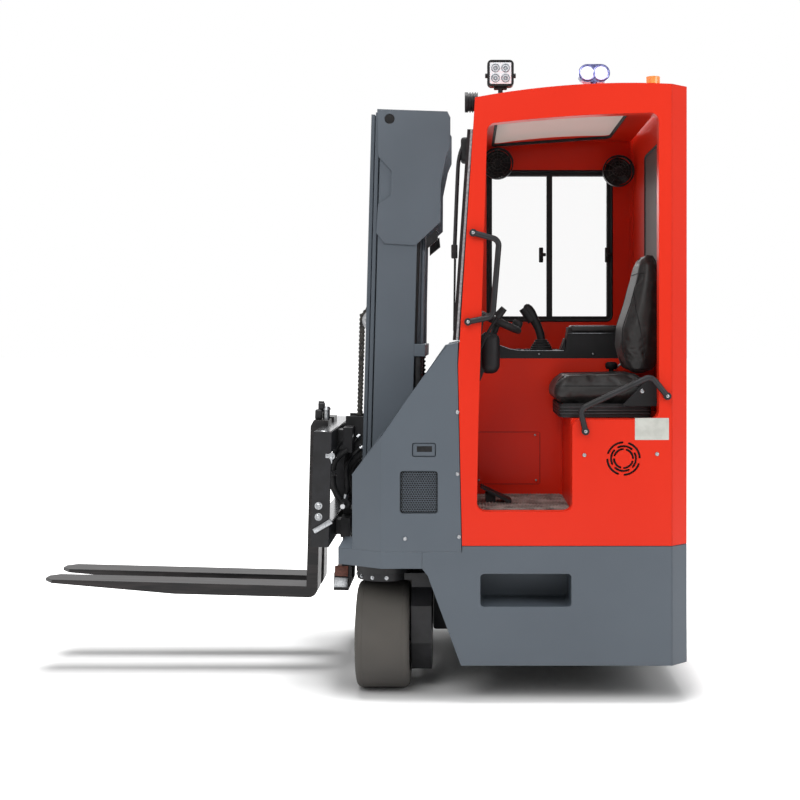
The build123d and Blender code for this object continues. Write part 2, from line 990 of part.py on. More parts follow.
def tilt_rods():
    """The two tilt rods with their eyes round the mast's pins."""
    rod = lengthways(
        tilt_y, tilt_z, tilt_rod_radius, tilt_rod_rear_x, tilt_pin_x - tilt_eye_radius + 4
    )
    y0 = tilt_y - tilt_eye / 2
    y1 = tilt_y + tilt_eye / 2
    eye = crossways(tilt_pin_x, tilt_z, tilt_eye_radius, y0, y1)
    bore = crossways(tilt_pin_x, tilt_z, tilt_eye_bore, tilt_y - 20, tilt_y + 20)
    return both_sides(rod + eye - bore)


# Cab
def roof_arc(drop=0.0):
    """The roof's top line over the side panels, lowered by the drop."""
    return ThreePointArc(
        (side_top_x, 0, roof_front_z - drop),
        (roof_mid_x, 0, roof_mid_z - drop),
        (fold_x, 0, roof_rear_z - drop),
    )


def side_panel():
    """The outer form of one cab side, without its openings."""
    low = base_top_z + seam
    lines = Polyline(
        (fold_x, 0, roof_rear_z),
        (fold_x, 0, low),
        (bulkhead_x, 0, low),
        (side_knee_x, 0, side_knee_z),
        (side_top_x, 0, roof_front_z),
    )
    face = make_face([*lines.edges(), roof_arc().edge()])
    return Pos(0, cab_half, 0) * extrude(face, amount=wall, dir=(0, 1, 0))


def round_vent():
    """Staggered arc slots in rings, as a cutter for the driver's side."""
    slots = []
    for ring_radius, turn in round_vent_rings:
        for quarter in range(4):
            arc = CenterArc((0, 0), ring_radius, turn + 90 * quarter, round_vent_sweep)
            slot = extrude(SlotArc(arc, round_vent_slot), amount=round_vent_depth + 1)
            slots.append(Pos(round_vent_x, half + 1, round_vent_z) * Rot(90, 0, 0) * slot)
    return slots


def side_left():
    """The driver's side: front pillar, sill, seat deck and the open doorway."""
    lines = Polyline(
        (door_rear_x, 0, door_rear_high_z),
        (door_rear_x, 0, seat_deck_z),
        (door_step_x, 0, seat_deck_z),
        (door_step_x, 0, door_sill_z),
        (door_front_x, 0, door_sill_z),
        (door_front_x - 6, 0, seat_deck_z),
        (door_front_top_x, 0, door_front_high_z),
    )
    top = ThreePointArc(
        (door_front_top_x, 0, door_front_high_z),
        ((door_front_top_x + door_rear_x) / 2, 0, door_mid_high_z),
        (door_rear_x, 0, door_rear_high_z),
    )
    face = make_face([*lines.edges(), top.edge()])
    opening = Pos(0, cab_half - 5, 0) * extrude(face, amount=wall + 10, dir=(0, 1, 0))
    corners = [
        edge
        for edge in opening.edges().filter_by(Axis.Y)
        if abs(edge.center().X - door_front_x + 6) > 1 or edge.center().Z < seat_deck_z - 1
    ]
    opening = fillet(corners, door_corner)
    return side_panel() - opening - round_vent()


def window_box(grow, y0, y1):
    """The right side's window as a rounded block, grown by so much."""
    block = box(
        window_rear_x - grow,
        window_front_x + grow,
        y0,
        y1,
        window_low_z - grow,
        window_high_z + grow,
    )
    return rounded_along(block, Axis.Y, window_corner + grow)


def side_right():
    """The far side with its window opening."""
    opening = window_box(0, -half - 5, -cab_half + 5)
    return mirrored(side_panel()) - opening


def window_frame_piece():
    """The black frame in the right window with its middle bar."""
    y0 = -half + 8
    y1 = y0 + window_frame_depth
    frame = window_box(-running_gap, y0, y1) - window_box(-window_frame, y0 - 1, y1 + 1)
    middle = (window_front_x + window_rear_x) / 2
    bar = box(
        middle - mullion / 2,
        middle + mullion / 2,
        y0,
        y1,
        window_low_z + window_frame / 2,
        window_high_z - window_frame / 2,
    )
    return frame + bar


def rear_panel():
    """The rear wall with both cut corners and the rear window."""
    joint = fold_x - running_gap
    panel = plan_prism(
        [
            (joint, half),
            (rear_x, half - corner_run_y),
            (rear_x, corner_run_y - half),
            (joint, -half),
            (joint, -cab_half),
            (rear_inner_x, -cab_half),
            (rear_inner_x, cab_half),
            (joint, cab_half),
        ],
        base_top_z + seam,
        roof_rear_z,
    )
    opening = box(
        rear_x - 5,
        rear_inner_x + 5,
        rear_window_right_y,
        rear_window_left_y,
        rear_window_low_z,
        rear_window_high_z,
    )
    return panel - rounded_along(opening, Axis.X, window_corner)


def roof():
    """The curved roof plate with its header and the skylight opening."""
    low = roof_arc(roof_thick)
    high = roof_arc()
    ends = [Line(high @ 0, low @ 0), Line(high @ 1, low @ 1)]
    face = make_face([high.edge(), low.edge(), *[end.edge() for end in ends]])
    width_in = 2 * (cab_half - running_gap)
    plate = Pos(0, -width_in / 2, 0) * extrude(face, amount=width_in, dir=(0, 1, 0))
    header = box(
        side_top_x - 34,
        side_top_x - 2,
        -width_in / 2,
        width_in / 2,
        roof_front_z - header_depth,
        roof_front_z - roof_thick + 4,
    )
    opening = box(
        skylight_rear_x,
        skylight_front_x,
        skylight_right_y,
        skylight_left_y,
        roof_front_z - 80,
        roof_rear_z + 40,
    )
    return plate + header - rounded_along(opening, Axis.Z, skylight_corner)


def roof_cutter():
    """All that lies below the roof's top, to seat the lamps just over it."""
    low = roof_arc(roof_thick * 3)
    high = roof_arc(-running_gap)
    ends = [Line(high @ 0, low @ 0), Line(high @ 1, low @ 1)]
    face = make_face([high.edge(), low.edge(), *[end.edge() for end in ends]])
    return Pos(0, -half, 0) * extrude(face, amount=width, dir=(0, 1, 0))


def cowl():
    """The wall below the windscreen, bored for the tilt barrels."""
    low = base_top_z + seam
    plate = side_prism(
        [
            (bulkhead_x, low),
            (side_knee_x, side_knee_z),
            (side_knee_x - 5, cowl_top_z),
            (side_knee_x - 5 - cowl_plate, cowl_top_z),
            (side_knee_x - cowl_plate, side_knee_z),
            (bulkhead_x - cowl_plate, low),
        ],
        -cab_half + running_gap,
        cab_half - running_gap,
    )
    hole = lengthways(tilt_y, tilt_z, tilt_barrel_radius + 3, bulkhead_x - 60, bulkhead_x + 60)
    return plate - hole - mirrored(hole)


def windscreen():
    """The raked front pane."""
    low = cowl_top_z + running_gap
    high = roof_front_z - header_depth - running_gap
    low_x = side_knee_x - 10
    high_x = side_top_x - 6
    return side_prism(
        [(low_x, low), (high_x, high), (high_x - glass, high), (low_x - glass, low)],
        -cab_half + running_gap,
        cab_half - running_gap,
    )


def panes():
    """The side panes, the rear pane and the skylight pane."""
    middle = (window_front_x + window_rear_x) / 2
    y0 = -half + 8 + window_frame_depth / 3
    inset = window_frame + running_gap
    pieces = []
    for x0, x1 in (
        (window_rear_x + inset, middle - mullion / 2 - running_gap),
        (middle + mullion / 2 + running_gap, window_front_x - inset),
    ):
        pane = box(x0, x1, y0, y0 + glass, window_low_z + inset, window_high_z - inset)
        pieces.append(rounded_along(pane, Axis.Y, 5))
    rear = box(
        rear_x + 14,
        rear_x + 14 + glass,
        rear_window_right_y + running_gap,
        rear_window_left_y - running_gap,
        rear_window_low_z + running_gap,
        rear_window_high_z - running_gap,
    )
    pieces.append(rounded_along(rear, Axis.X, window_corner - running_gap))
    low = roof_arc(roof_thick / 2 + glass)
    high = roof_arc(roof_thick / 2)
    ends = [Line(high @ 0, low @ 0), Line(high @ 1, low @ 1)]
    face = make_face([high.edge(), low.edge(), *[end.edge() for end in ends]])
    sheet = Pos(0, -half, 0) * extrude(face, amount=width, dir=(0, 1, 0))
    inside = box(
        skylight_rear_x + running_gap,
        skylight_front_x - running_gap,
        skylight_right_y + running_gap,
        skylight_left_y - running_gap,
        roof_front_z - 80,
        roof_rear_z + 40,
    )
    pieces.append(sheet & rounded_along(inside, Axis.Z, skylight_corner - running_gap))
    return group(*pieces)


def cab_floor():
    """The floor plate of the footwell on its two bearers."""
    front = bulkhead_x - cowl_plate - running_gap
    low = door_sill_z - floor_plate
    plate = box(
        door_step_x, front, aisle_y + running_gap, cab_half - running_gap, low, door_sill_z
    )
    for y in (tilt_y + 70, cab_half - 50):
        plate = plate + box(door_step_x, front, y, y + 20, base_top_z, low + 1)
    return plate


def aisle_wall():
    """The wall between the footwell and the battery compartment, clear of the tilt barrel."""
    front = bulkhead_x - cowl_plate - running_gap
    plate = box(
        rear_inner_x + running_gap, front, aisle_y - aisle_plate, aisle_y, base_top_z, console_low_z
    )
    clearance = lengthways(
        tilt_y, tilt_z, tilt_barrel_radius + 3, tilt_barrel_rear_x - 10, front + 10
    )
    return plate - clearance


def seat_deck():
    """The folded plate under the seat."""
    return side_prism(
        [
            (door_step_x - running_gap, base_top_z),
            (door_step_x - running_gap, seat_deck_z),
            (rear_inner_x + running_gap, seat_deck_z),
            (rear_inner_x + running_gap, seat_deck_z - aisle_plate),
            (door_step_x - aisle_plate, seat_deck_z - aisle_plate),
            (door_step_x - aisle_plate, base_top_z),
        ],
        aisle_y + running_gap,
        cab_half - running_gap,
    )


def console():
    """The side console with its raised arm rest and the control lever."""
    high = console_low_z + console_thick
    top = box(
        rear_inner_x + running_gap,
        side_knee_x - 65,
        -cab_half + running_gap,
        aisle_y,
        console_low_z,
        high,
    )
    arm = side_prism(
        [
            (arm_front_x, high - 1),
            (arm_front_x - 14, arm_top_z),
            (arm_rear_x, arm_top_z),
            (arm_rear_x, high - 1),
        ],
        aisle_y - arm_width,
        aisle_y,
    )
    y = aisle_y - arm_width / 2
    base = upright(lever_x, y, lever_boot, high - 1, high + 24)
    bend = (lever_x + 5, y, high + lever_rise / 2 + 5)
    tip = (lever_x + lever_reach, y, high + lever_rise)
    stick = tube([(lever_x, y, high + 20), bend, tip], lever_bend, lever_radius)
    grip_x = lever_x + lever_reach + 12
    grip = Cylinder(grip_radius, grip_length)
    grip = Pos(grip_x, y, high + lever_rise + 8) * Rot(0, grip_tilt, 0) * grip
    return top + arm + base + stick + grip


def steering_column():
    """The dash pod on the cowl with the steering shaft."""
    front = side_knee_x - cowl_plate - pod_gap
    low = side_knee_z - pod_drop
    outline = [(front - along * pod_length, low + up * pod_height) for along, up in pod_outline]
    pod = side_prism(outline, seat_y - pod_half, seat_y + pod_half)
    base = box(
        front - 10,
        side_knee_x - cowl_plate,
        seat_y - pod_half + 25,
        seat_y + pod_half - 25,
        side_knee_z - 50,
        side_knee_z + 50,
    )
    base = base - cowl()
    shaft = Pos(hand_wheel_x, seat_y, hand_wheel_z) * Rot(0, -wheel_tilt, 0) * (
        Pos(0, 0, -60) * Cylinder(13, 90)
    )
    return pod + base + shaft


def hand_wheel():
    """The steering wheel with its hub, spokes and knob."""
    ring = Torus(hand_wheel_radius, hand_wheel_tube)
    hub = Cylinder(24, 26)
    wheel = ring + hub
    for turn in (90, 210, 330):
        spoke = Pos(hand_wheel_radius / 2, 0, 0) * Box(hand_wheel_radius - 8, 18, 9)
        wheel = wheel + Rot(0, 0, turn) * spoke
    knob = Pos(0, hand_wheel_radius, 22) * (Cylinder(17, 30) + Pos(0, 0, -14) * Cylinder(8, 30))
    wheel = wheel + Rot(0, 0, 120) * knob
    lift = 13 + 15 + running_gap
    place = Pos(hand_wheel_x, seat_y, hand_wheel_z) * Rot(0, -wheel_tilt, 0)
    return place * Pos(0, 0, lift - 30) * wheel


def pedals():
    """The drive pedal on the footwell floor."""
    pad = side_prism(
        [
            (pedal_front_x, door_sill_z + pedal_rise - 6),
            (pedal_front_x - 6, door_sill_z + pedal_rise),
            (pedal_rear_x, door_sill_z + 12),
            (pedal_rear_x + 6, door_sill_z),
        ],
        seat_y - 30,
        seat_y + 60,
    )
    foot_x = pedal_front_x - 20
    foot = box(foot_x - 40, foot_x, seat_y - 10, seat_y + 40, door_sill_z, door_sill_z + 40)
    return pad + foot


def seat_bellows():
    """The folded gaiter of the seat's suspension."""
    pitch = (cushion_low_z - seat_deck_z) / bellows_ribs
    rear = cushion_rear_x + 10
    front = cushion_front_x - 40
    side = seat_width / 2 - 20
    stack = box(
        rear + 14,
        front - 14,
        seat_y - side + 14,
        seat_y + side - 14,
        seat_deck_z,
        cushion_low_z - running_gap,
    )
    for i in range(bellows_ribs):
        z0 = seat_deck_z + pitch * (i + 0.18)
        rib = box(rear, front, seat_y - side, seat_y + side, z0, z0 + pitch * 0.64)
        stack = stack + rounded_along(rib, Axis.Z, 22)
    return stack


def seat_cushion():
    """The seat cushion."""
    pad = box(
        cushion_rear_x,
        cushion_front_x,
        seat_y - seat_width / 2,
        seat_y + seat_width / 2,
        cushion_low_z,
        cushion_high_z,
    )
    pad = rounded_along(pad, Axis.Z, 50)
    return fillet(pad.faces().sort_by(Axis.Z)[-1].edges(), 24)


def seat_back():
    """The back rest with its lumbar bulge."""
    low = cushion_high_z + running_gap
    outline = [(back_front_x - along * back_depth, low + up * back_height) for along, up in back_outline]
    side = seat_width / 2 - back_inset
    return side_prism(outline, seat_y - side, seat_y + side)


def grab_handles():
    """The two bent handles on the driver's side, each on two feet."""
    y = half + handle_out
    handles = []
    for bends in (front_handle, rear_handle):
        points = [(x, y, z) for x, z in bends]
        bar = tube(points, handle_bend, handle_radius)
        for x, _, z in (points[0], points[-1]):
            bar = bar + crossways(x, z, handle_radius + 3, half, y + handle_radius - 2)
        handles.append(bar)
    return group(*handles)


# Lamps and cab fittings
def lamps():
    """Two square side lamps and one forward lamp on the roof."""
    pieces = []
    for side in (1, -1):
        y = side * (half - lamp_edge)
        body = box(
            lamp_x - lamp_half,
            lamp_x + lamp_half,
            y - lamp_thick / 2,
            y + lamp_thick / 2,
            lamp_z - lamp_half,
            lamp_z + lamp_half,
        )
        body = rounded_along(body, Axis.Y, 16)
        face = y + side * lamp_thick / 2
        lens = box(
            lamp_x - lamp_half + lens_rim,
            lamp_x + lamp_half - lens_rim,
            face - side * lens_depth,
            face + side * lens_depth,
            lamp_z - lamp_half + lens_rim,
            lamp_z + lamp_half - lens_rim,
        )
        body = body - rounded_along(lens, Axis.Y, 12)
        post = upright(lamp_x, y, lamp_post, roof_front_z - 10, lamp_z - lamp_half + 5)
        pieces.append(body + post - roof_cutter())
    y = half - front_lamp_edge
    z = roof_front_z + front_lamp_rise
    rear = side_top_x - 12
    front = lengthways(y, z, front_lamp_radius, rear, rear + front_lamp_length)
    core = lengthways(y, z, front_lamp_radius - lamp_fin, rear - 1, rear + front_lamp_length)
    pitch = front_lamp_length / (lamp_fins + 1)
    for i in range(lamp_fins):
        low = rear + pitch * (i + 0.2)
        ring = lengthways(y, z, front_lamp_radius + 1, low, low + pitch * 0.5)
        front = front - (ring - core)
    bowl = lengthways(
        y, z, front_lamp_radius - lens_rim, rear + front_lamp_length - lens_depth, rear + 60
    )
    front = front - bowl
    arm = box(rear - 30, rear + 6, y - 12, y + 12, z - 14, z + 8)
    pieces.append(front + arm - roof_cutter())
    return group(*pieces)


def twin_lamp():
    """The oval twin lamp on the roof."""
    y = half - twin_edge
    y0 = y - twin_thick / 2
    y1 = y + twin_thick / 2
    low = twin_z - twin_radius
    high = twin_z + twin_radius
    body = box(twin_x - twin_pitch / 2, twin_x + twin_pitch / 2, y0, y1, low, high)
    for x in (twin_x - twin_pitch / 2, twin_x + twin_pitch / 2):
        body = body + crossways(x, twin_z, twin_radius, y0, y1)
    for x in (twin_x - twin_pitch / 2, twin_x + twin_pitch / 2):
        body = body - crossways(x, twin_z, twin_radius - lens_rim, y1 - lens_depth, y1 + 1)
    post = upright(twin_x, y, 12, roof_mid_z - 20, low + 4)
    return body + post - roof_cutter()


def beacon():
    """The amber beacon near the roof's rear edge."""
    low = roof_mid_z - 20
    lens = upright(beacon_x, half - beacon_edge, beacon_radius, low, roof_rear_z + beacon_rise)
    return lens - roof_cutter()


def fans():
    """Two cab fans on arms from the far wall, each a guard ring with spokes, hub and blades."""
    pieces = []
    rear = fan_y + fan_depth
    inside = fan_radius - fan_ring
    for x, z in fan_spots:
        fan = crossways(x, z, fan_radius, fan_y, rear) - crossways(x, z, inside, fan_y - 1, rear + 1)
        fan = fan + crossways(x, z, fan_hub_radius, fan_y - 12, rear - 6)
        place = Pos(x, fan_y + fan_depth / 2, z)
        for i in range(fan_blades):
            turn = Rot(0, 360 / fan_blades * i, 0)
            blade = Pos(0, 0, (inside - 5) / 2) * Rot(0, 0, fan_blade_pitch) * Box(30, 2, inside - 5)
            fan = fan + place * turn * blade
        for i in range(3):
            spoke = Pos(0, 0, fan_radius / 2) * Box(6, 4, fan_radius - 2)
            fan = fan + Pos(x, fan_y + 2, z) * Rot(0, 120 * i + 60, 0) * spoke
        pieces.append(fan + crossways(x, z, 12, running_gap - cab_half, fan_y + 1))
    return group(*pieces)


nodes = {
    "chassis_frame": chassis_frame,
    "side_skirt_left": skirt_left,
    "side_skirt_right": lambda: mirrored(skirt()),
    "counterweight": counterweight,
    "battery": battery,
    "front_deck_left": deck,
    "front_deck_right": lambda: mirrored(deck()),
    "front_housing_left": housing,
    "front_housing_right": lambda: mirrored(housing()),
    "steer_unit_left": lambda: steer_unit(front_pivot_x, front_pivot_y),
    "steer_unit_right": lambda: steer_unit(front_pivot_x, -front_pivot_y),
    "steer_unit_rear": lambda: steer_unit(rear_pivot_x, 0),
    "tyre_left": lambda: tyre(front_pivot_x, front_pivot_y),
    "tyre_right": lambda: tyre(front_pivot_x, -front_pivot_y),
    "tyre_rear": lambda: tyre(rear_pivot_x, 0),
    "rim_left": lambda: rim(front_pivot_x, front_pivot_y),
    "rim_right": lambda: rim(front_pivot_x, -front_pivot_y),
    "rim_rear": lambda: rim(rear_pivot_x, 0),
    "mast_outer_rails": outer_rails,
    "mast_outer_frame": outer_frame,
    "mast_covers": mast_covers,
    "mast_middle_rails": middle_rails,
    "mast_middle_frame": middle_frame,
    "mast_inner_rails": inner_rails,
    "mast_inner_frame": inner_frame,
    "lift_head": lift_head,
    "lift_chains": chains,
    "carriage": carriage,
    "side_shift_frame": shift_frame,
    "forks": forks,
    "tilt_barrels": tilt_barrels,
    "tilt_rods": tilt_rods,
    "cab_side_left": side_left,
    "cab_side_right": side_right,
    "cab_rear_panel": rear_panel,
    "cab_roof": roof,
    "cab_cowl": cowl,
    "windscreen": windscreen,
    "side_window_frame": window_frame_piece,
    "window_panes": panes,
    "cab_floor": cab_floor,
    "aisle_wall": aisle_wall,
    "seat_deck": seat_deck,
    "console": console,
    "steering_column": steering_column,
    "steering_wheel": hand_wheel,
    "drive_pedal": pedals,
    "seat_bellows": seat_bellows,
    "seat_cushion": seat_cushion,
    "seat_back": seat_back,
    "grab_handles": grab_handles,
    "work_lamps": lamps,
    "twin_lamp": twin_lamp,
    "beacon": beacon,
    "cab_fans": fans,
}


def main():
    """Writes one STEP file for each node."""
    os.makedirs("parts", exist_ok=True)
    for name, make in nodes.items():
        export_step(make(), f"parts/{name}.step")


if __name__ == "__main__":
    main()
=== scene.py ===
"""Looks of a multidirectional fork truck: its finishes, seat, trim, fittings and a plain stage."""

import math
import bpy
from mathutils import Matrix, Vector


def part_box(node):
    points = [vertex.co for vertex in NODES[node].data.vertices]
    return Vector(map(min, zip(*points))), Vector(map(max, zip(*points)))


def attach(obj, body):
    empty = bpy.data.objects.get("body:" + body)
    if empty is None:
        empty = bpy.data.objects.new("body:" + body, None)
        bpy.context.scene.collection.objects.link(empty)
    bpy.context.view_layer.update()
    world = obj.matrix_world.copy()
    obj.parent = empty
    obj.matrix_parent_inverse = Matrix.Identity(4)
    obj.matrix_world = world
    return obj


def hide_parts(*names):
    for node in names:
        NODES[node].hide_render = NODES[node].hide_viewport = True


bl_info = {
    "name": "Fork Truck Looks",
    "version": (1, 0, 0),
    "blender": (4, 5, 0),
    "location": "View3D > Sidebar > Fork Truck",
    "description": "Finishes, seat, trim and stage of a multidirectional fork truck",
    "category": "Object",
}

from contextlib import contextmanager

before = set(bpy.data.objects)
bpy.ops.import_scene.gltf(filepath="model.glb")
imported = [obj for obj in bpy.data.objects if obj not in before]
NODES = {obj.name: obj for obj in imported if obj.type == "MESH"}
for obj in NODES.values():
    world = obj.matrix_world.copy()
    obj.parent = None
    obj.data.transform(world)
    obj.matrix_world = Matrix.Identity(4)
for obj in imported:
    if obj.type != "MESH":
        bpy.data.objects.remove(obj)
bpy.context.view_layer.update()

import bmesh
import bpy
from bpy.props import FloatProperty, FloatVectorProperty, IntProperty, PointerProperty
from bpy.types import Operator, Panel, PropertyGroup
from mathutils import Matrix, Vector
from mathutils.bvhtree import BVHTree

# Driving sizes and places, in metres and radians
AHEAD, LEFT, UP = (1, 0, 0), (0, 1, 0), (0, 0, 1)
SIDES = ((1, "left"), (-1, "right"))
PIVOT = Vector((-0.165, 0.0, 0.530))
LEAN = math.radians(1.5)
STEERING_WHEEL = (-0.572, 0.335, 1.415)
STEERING_TILT = math.radians(-23.5)
LEVER = (-0.757, 0.06)
FANS = ((-0.59, 2.146), (-1.142, 2.112))
DECK_RIM = 0.4985
ROOF_PANE = 2.19
REAR_PANE = -1.2
PIPING = 0.0022
FLOOR_REACH = 60.0
SHADOW_MIDDLE = (0.02, 0.0, 0)
SHADOW_HALF = (1.22, 0.46, 0)
SHADOW_FADE = 0.36

# Places worked out from the frame
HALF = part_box("cab_side_left")[1].y
TYRES = {name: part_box(f"tyre_{name}") for name in ("left", "right", "rear")}
TYRE_RADIUS = (TYRES["rear"][1].y - TYRES["rear"][0].y) / 2
TYRE_HALF = (TYRES["rear"][1].x - TYRES["rear"][0].x) / 2
LAMPS_LOW, LAMPS_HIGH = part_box("work_lamps")
WORK_LAMP = (LAMPS_LOW.x + 0.05, LAMPS_HIGH.y - 0.0025, LAMPS_HIGH.z - 0.05)
FRONT_LAMP = (LAMPS_HIGH.x - 0.0035, 0.45, LAMPS_HIGH.z - 0.148)
TWIN_LOW, TWIN_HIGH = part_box("twin_lamp")
TWIN_MIDDLE = (TWIN_LOW.x + TWIN_HIGH.x) / 2
BEACON = sum(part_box("beacon"), Vector()) / 2
FAN_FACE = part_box("cab_fans")[1].y + 0.0005
HANDLE_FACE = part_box("grab_handles")[1].y - 0.002
AISLE_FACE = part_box("aisle_wall")[1].y
FLOOR_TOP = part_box("cab_floor")[1].z

# The photo's width, the pixel straight ahead of the camera and the camera's place along the truck
PHOTO = 800
EYE_PIXEL = (465, 333)
EYE_X = -0.441


# Colours, nodes and materials
def linear(code):
    """An sRGB hex colour as linear red, green, blue and alpha."""
    values = [int(code[i : i + 2], 16) / 255 for i in (1, 3, 5)]
    return [v / 12.92 if v <= 0.04045 else ((v + 0.055) / 1.055) ** 2.4 for v in values] + [1.0]


def add(tree, kind, settings=None, links=None):
    """Adds one node with its settings, default inputs and incoming links."""
    node = tree.nodes.new(kind)
    for name, value in (settings or {}).items():
        if isinstance(name, str) and hasattr(node, name):
            setattr(node, name, value)
        else:
            node.inputs[name].default_value = value
    for name, source in (links or {}).items():
        tree.links.new(source, node.inputs[name])
    return node


def start_material(name, settings):
    """A material with a principled shader set up, as (material, tree, shader)."""
    material = bpy.data.materials.new(name)
    material.use_nodes = True
    tree = material.node_tree
    shader = tree.nodes["Principled BSDF"]
    for key, value in settings.items():
        shader.inputs[key].default_value = value
    return material, tree, shader


def bump(tree, shader, height, distance, edge=0.0):
    """Links a height to the shader's normal, its depth in metres, over edges drawn rounded."""
    links = {"Height": height}
    if edge:
        links["Normal"] = add(tree, "ShaderNodeBevel", {"samples": 4, "Radius": edge}).outputs[0]
    node = add(tree, "ShaderNodeBump", {"Strength": 1.0, "Distance": distance}, links)
    tree.links.new(node.outputs["Normal"], shader.inputs["Normal"])


def noise(tree, size, detail=3.0, stretch=(1, 1, 1)):
    """Noise on object coordinates whose grain is so many metres, as its factor socket."""
    place = add(tree, "ShaderNodeTexCoord")
    spread = add(tree, "ShaderNodeMapping", {"Scale": stretch}, {"Vector": place.outputs["Object"]})
    settings = {"Scale": 1 / size, "Detail": detail}
    node = add(tree, "ShaderNodeTexNoise", settings, {"Vector": spread.outputs["Vector"]})
    return node.outputs["Fac"]


def paint(tree, shader, factor, low, high, low_at=0.35, high_at=0.65):
    """Colours the shader with a blend of two hex colours along a factor."""
    node = add(tree, "ShaderNodeValToRGB", None, {"Fac": factor})
    stops = node.color_ramp.elements
    stops[0].position, stops[0].color = low_at, linear(low)
    stops[1].position, stops[1].color = high_at, linear(high)
    tree.links.new(node.outputs["Color"], shader.inputs["Base Color"])


def drifting(tree, shader, factor, one, two):
    """Colours the shader with a mix of two chosen linear colours along a factor."""
    settings = {"data_type": "RGBA", "A": [*one, 1], "B": [*two, 1]}
    mix = add(tree, "ShaderNodeMix", settings, {"Factor": factor})
    tree.links.new(mix.outputs["Result"], shader.inputs["Base Color"])


def vary(tree, shader, name, factor, low, high):
    """Varies one of the shader's numbers between two values along a factor."""
    node = add(tree, "ShaderNodeMapRange", {"To Min": low, "To Max": high}, {"Value": factor})
    tree.links.new(node.outputs["Result"], shader.inputs[name])


def red_enamel(props):
    """Sprayed red enamel: satin, with a faint orange peel about 4 mm across."""
    settings = {"Roughness": 0.36, "Specular IOR Level": 0.16, "Coat Weight": 0.03}
    material, tree, shader = start_material("red_sprayed_enamel", settings)
    drifting(tree, shader, noise(tree, 0.5, 2), props.red_low, props.red_high)
    bump(tree, shader, noise(tree, 0.004, 2), 0.00006, 0.004)
    return material


def grey_powder(props):
    """Grey powder coat: satin, with a fine grain about 2 mm across."""
    settings = {"Roughness": 0.46, "Specular IOR Level": 0.28}
    material, tree, shader = start_material("grey_powder_coat", settings)
    drifting(tree, shader, noise(tree, 0.4, 3), props.grey_low, props.grey_high)
    vary(tree, shader, "Roughness", noise(tree, 0.03, 4), 0.4, 0.52)
    bump(tree, shader, noise(tree, 0.0022, 3), 0.00012, 0.005)
    return material


def deck_coat(props):
    """Grey powder coat over the deck, black chassis enamel on all that hangs below its rim."""
    material = grey_powder(props)
    material.name = "deck_powder_coat"
    tree = material.node_tree
    shader = tree.nodes["Principled BSDF"]
    grey = shader.inputs["Base Color"].links[0].from_socket
    place = add(tree, "ShaderNodeTexCoord")
    split = add(tree, "ShaderNodeSeparateXYZ", None, {"Vector": place.outputs["Object"]})
    settings = {"operation": "GREATER_THAN", 1: DECK_RIM}
    above = add(tree, "ShaderNodeMath", settings, {0: split.outputs["Z"]})
    settings = {"data_type": "RGBA", "A": linear("#1a1a1c")}
    mix = add(tree, "ShaderNodeMix", settings, {"Factor": above.outputs[0], "B": grey})
    tree.links.new(mix.outputs["Result"], shader.inputs["Base Color"])
    return material


def black_enamel():
    """Black chassis enamel over hot-rolled steel: dull gloss with slight dust in the lows."""
    settings = {"Roughness": 0.42, "Specular IOR Level": 0.25}
    material, tree, shader = start_material("black_chassis_enamel", settings)
    paint(tree, shader, noise(tree, 0.06, 5), "#141415", "#242427", 0.3, 0.75)
    vary(tree, shader, "Roughness", noise(tree, 0.02, 4), 0.34, 0.56)
    bump(tree, shader, noise(tree, 0.004, 4), 0.00015, 0.002)
    return material


def forged_fork():
    """Painted forging: black paint that drags along the blade, worn thin in long scratches."""
    settings = {"Roughness": 0.36, "Metallic": 0.05, "Specular IOR Level": 0.25}
    material, tree, shader = start_material("painted_forging", settings)
    drag = noise(tree, 0.02, 6, (0.12, 1, 1))
    paint(tree, shader, drag, "#141314", "#2f2b2b", 0.42, 0.72)
    vary(tree, shader, "Roughness", drag, 0.26, 0.5)
    bump(tree, shader, noise(tree, 0.006, 5), 0.0002, 0.003)
    return material


def clear_glass():
    """Float glass, clear at the side and front, milky in the roof and smoked at the rear; the roof pane
    also glows pale beige, painted light for the sky seen through it.
    """
    settings = {"Roughness": 0.03, "Emission Color": linear("#d8c8c0")}
    material, tree, shader = start_material("float_glass", settings)
    place = add(tree, "ShaderNodeTexCoord")
    split = add(tree, "ShaderNodeSeparateXYZ", None, {"Vector": place.outputs["Object"]})
    settings = {"operation": "GREATER_THAN", 1: ROOF_PANE}
    high = add(tree, "ShaderNodeMath", settings, {0: split.outputs["Z"]})
    settings = {"operation": "LESS_THAN", 1: REAR_PANE}
    rear = add(tree, "ShaderNodeMath", settings, {0: split.outputs["X"]})
    links = {0: high.outputs[0], 1: rear.outputs[0]}
    tinted = add(tree, "ShaderNodeMath", {"operation": "MAXIMUM"}, links)
    vary(tree, shader, "Alpha", tinted.outputs[0], 0.03, 0.86)
    drifting(tree, shader, rear.outputs[0], linear("#bdb4af")[:3], linear("#4a4543")[:3])
    # Painted light: only the roof pane glows, in the pale beige emission colour set above, standing in
    # for the sky's light through it
    vary(tree, shader, "Emission Strength", high.outputs[0], 0.0, 0.36)
    bump(tree, shader, noise(tree, 0.2, 1), 0.0001)
    return material


def moulded_black():
    """Moulded black ABS: matt with a leathery grain about 2 mm across."""
    settings = {"Roughness": 0.5, "Specular IOR Level": 0.2}
    material, tree, shader = start_material("moulded_black_abs", settings)
    paint(tree, shader, noise(tree, 0.12, 3), "#121213", "#1c1c1e")
    place = add(tree, "ShaderNodeTexCoord")
    links = {"Vector": place.outputs["Object"]}
    grain = add(tree, "ShaderNodeTexVoronoi", {"Scale": 1 / 0.002}, links)
    bump(tree, shader, grain.outputs["Distance"], 0.0001, 0.002)
    return material


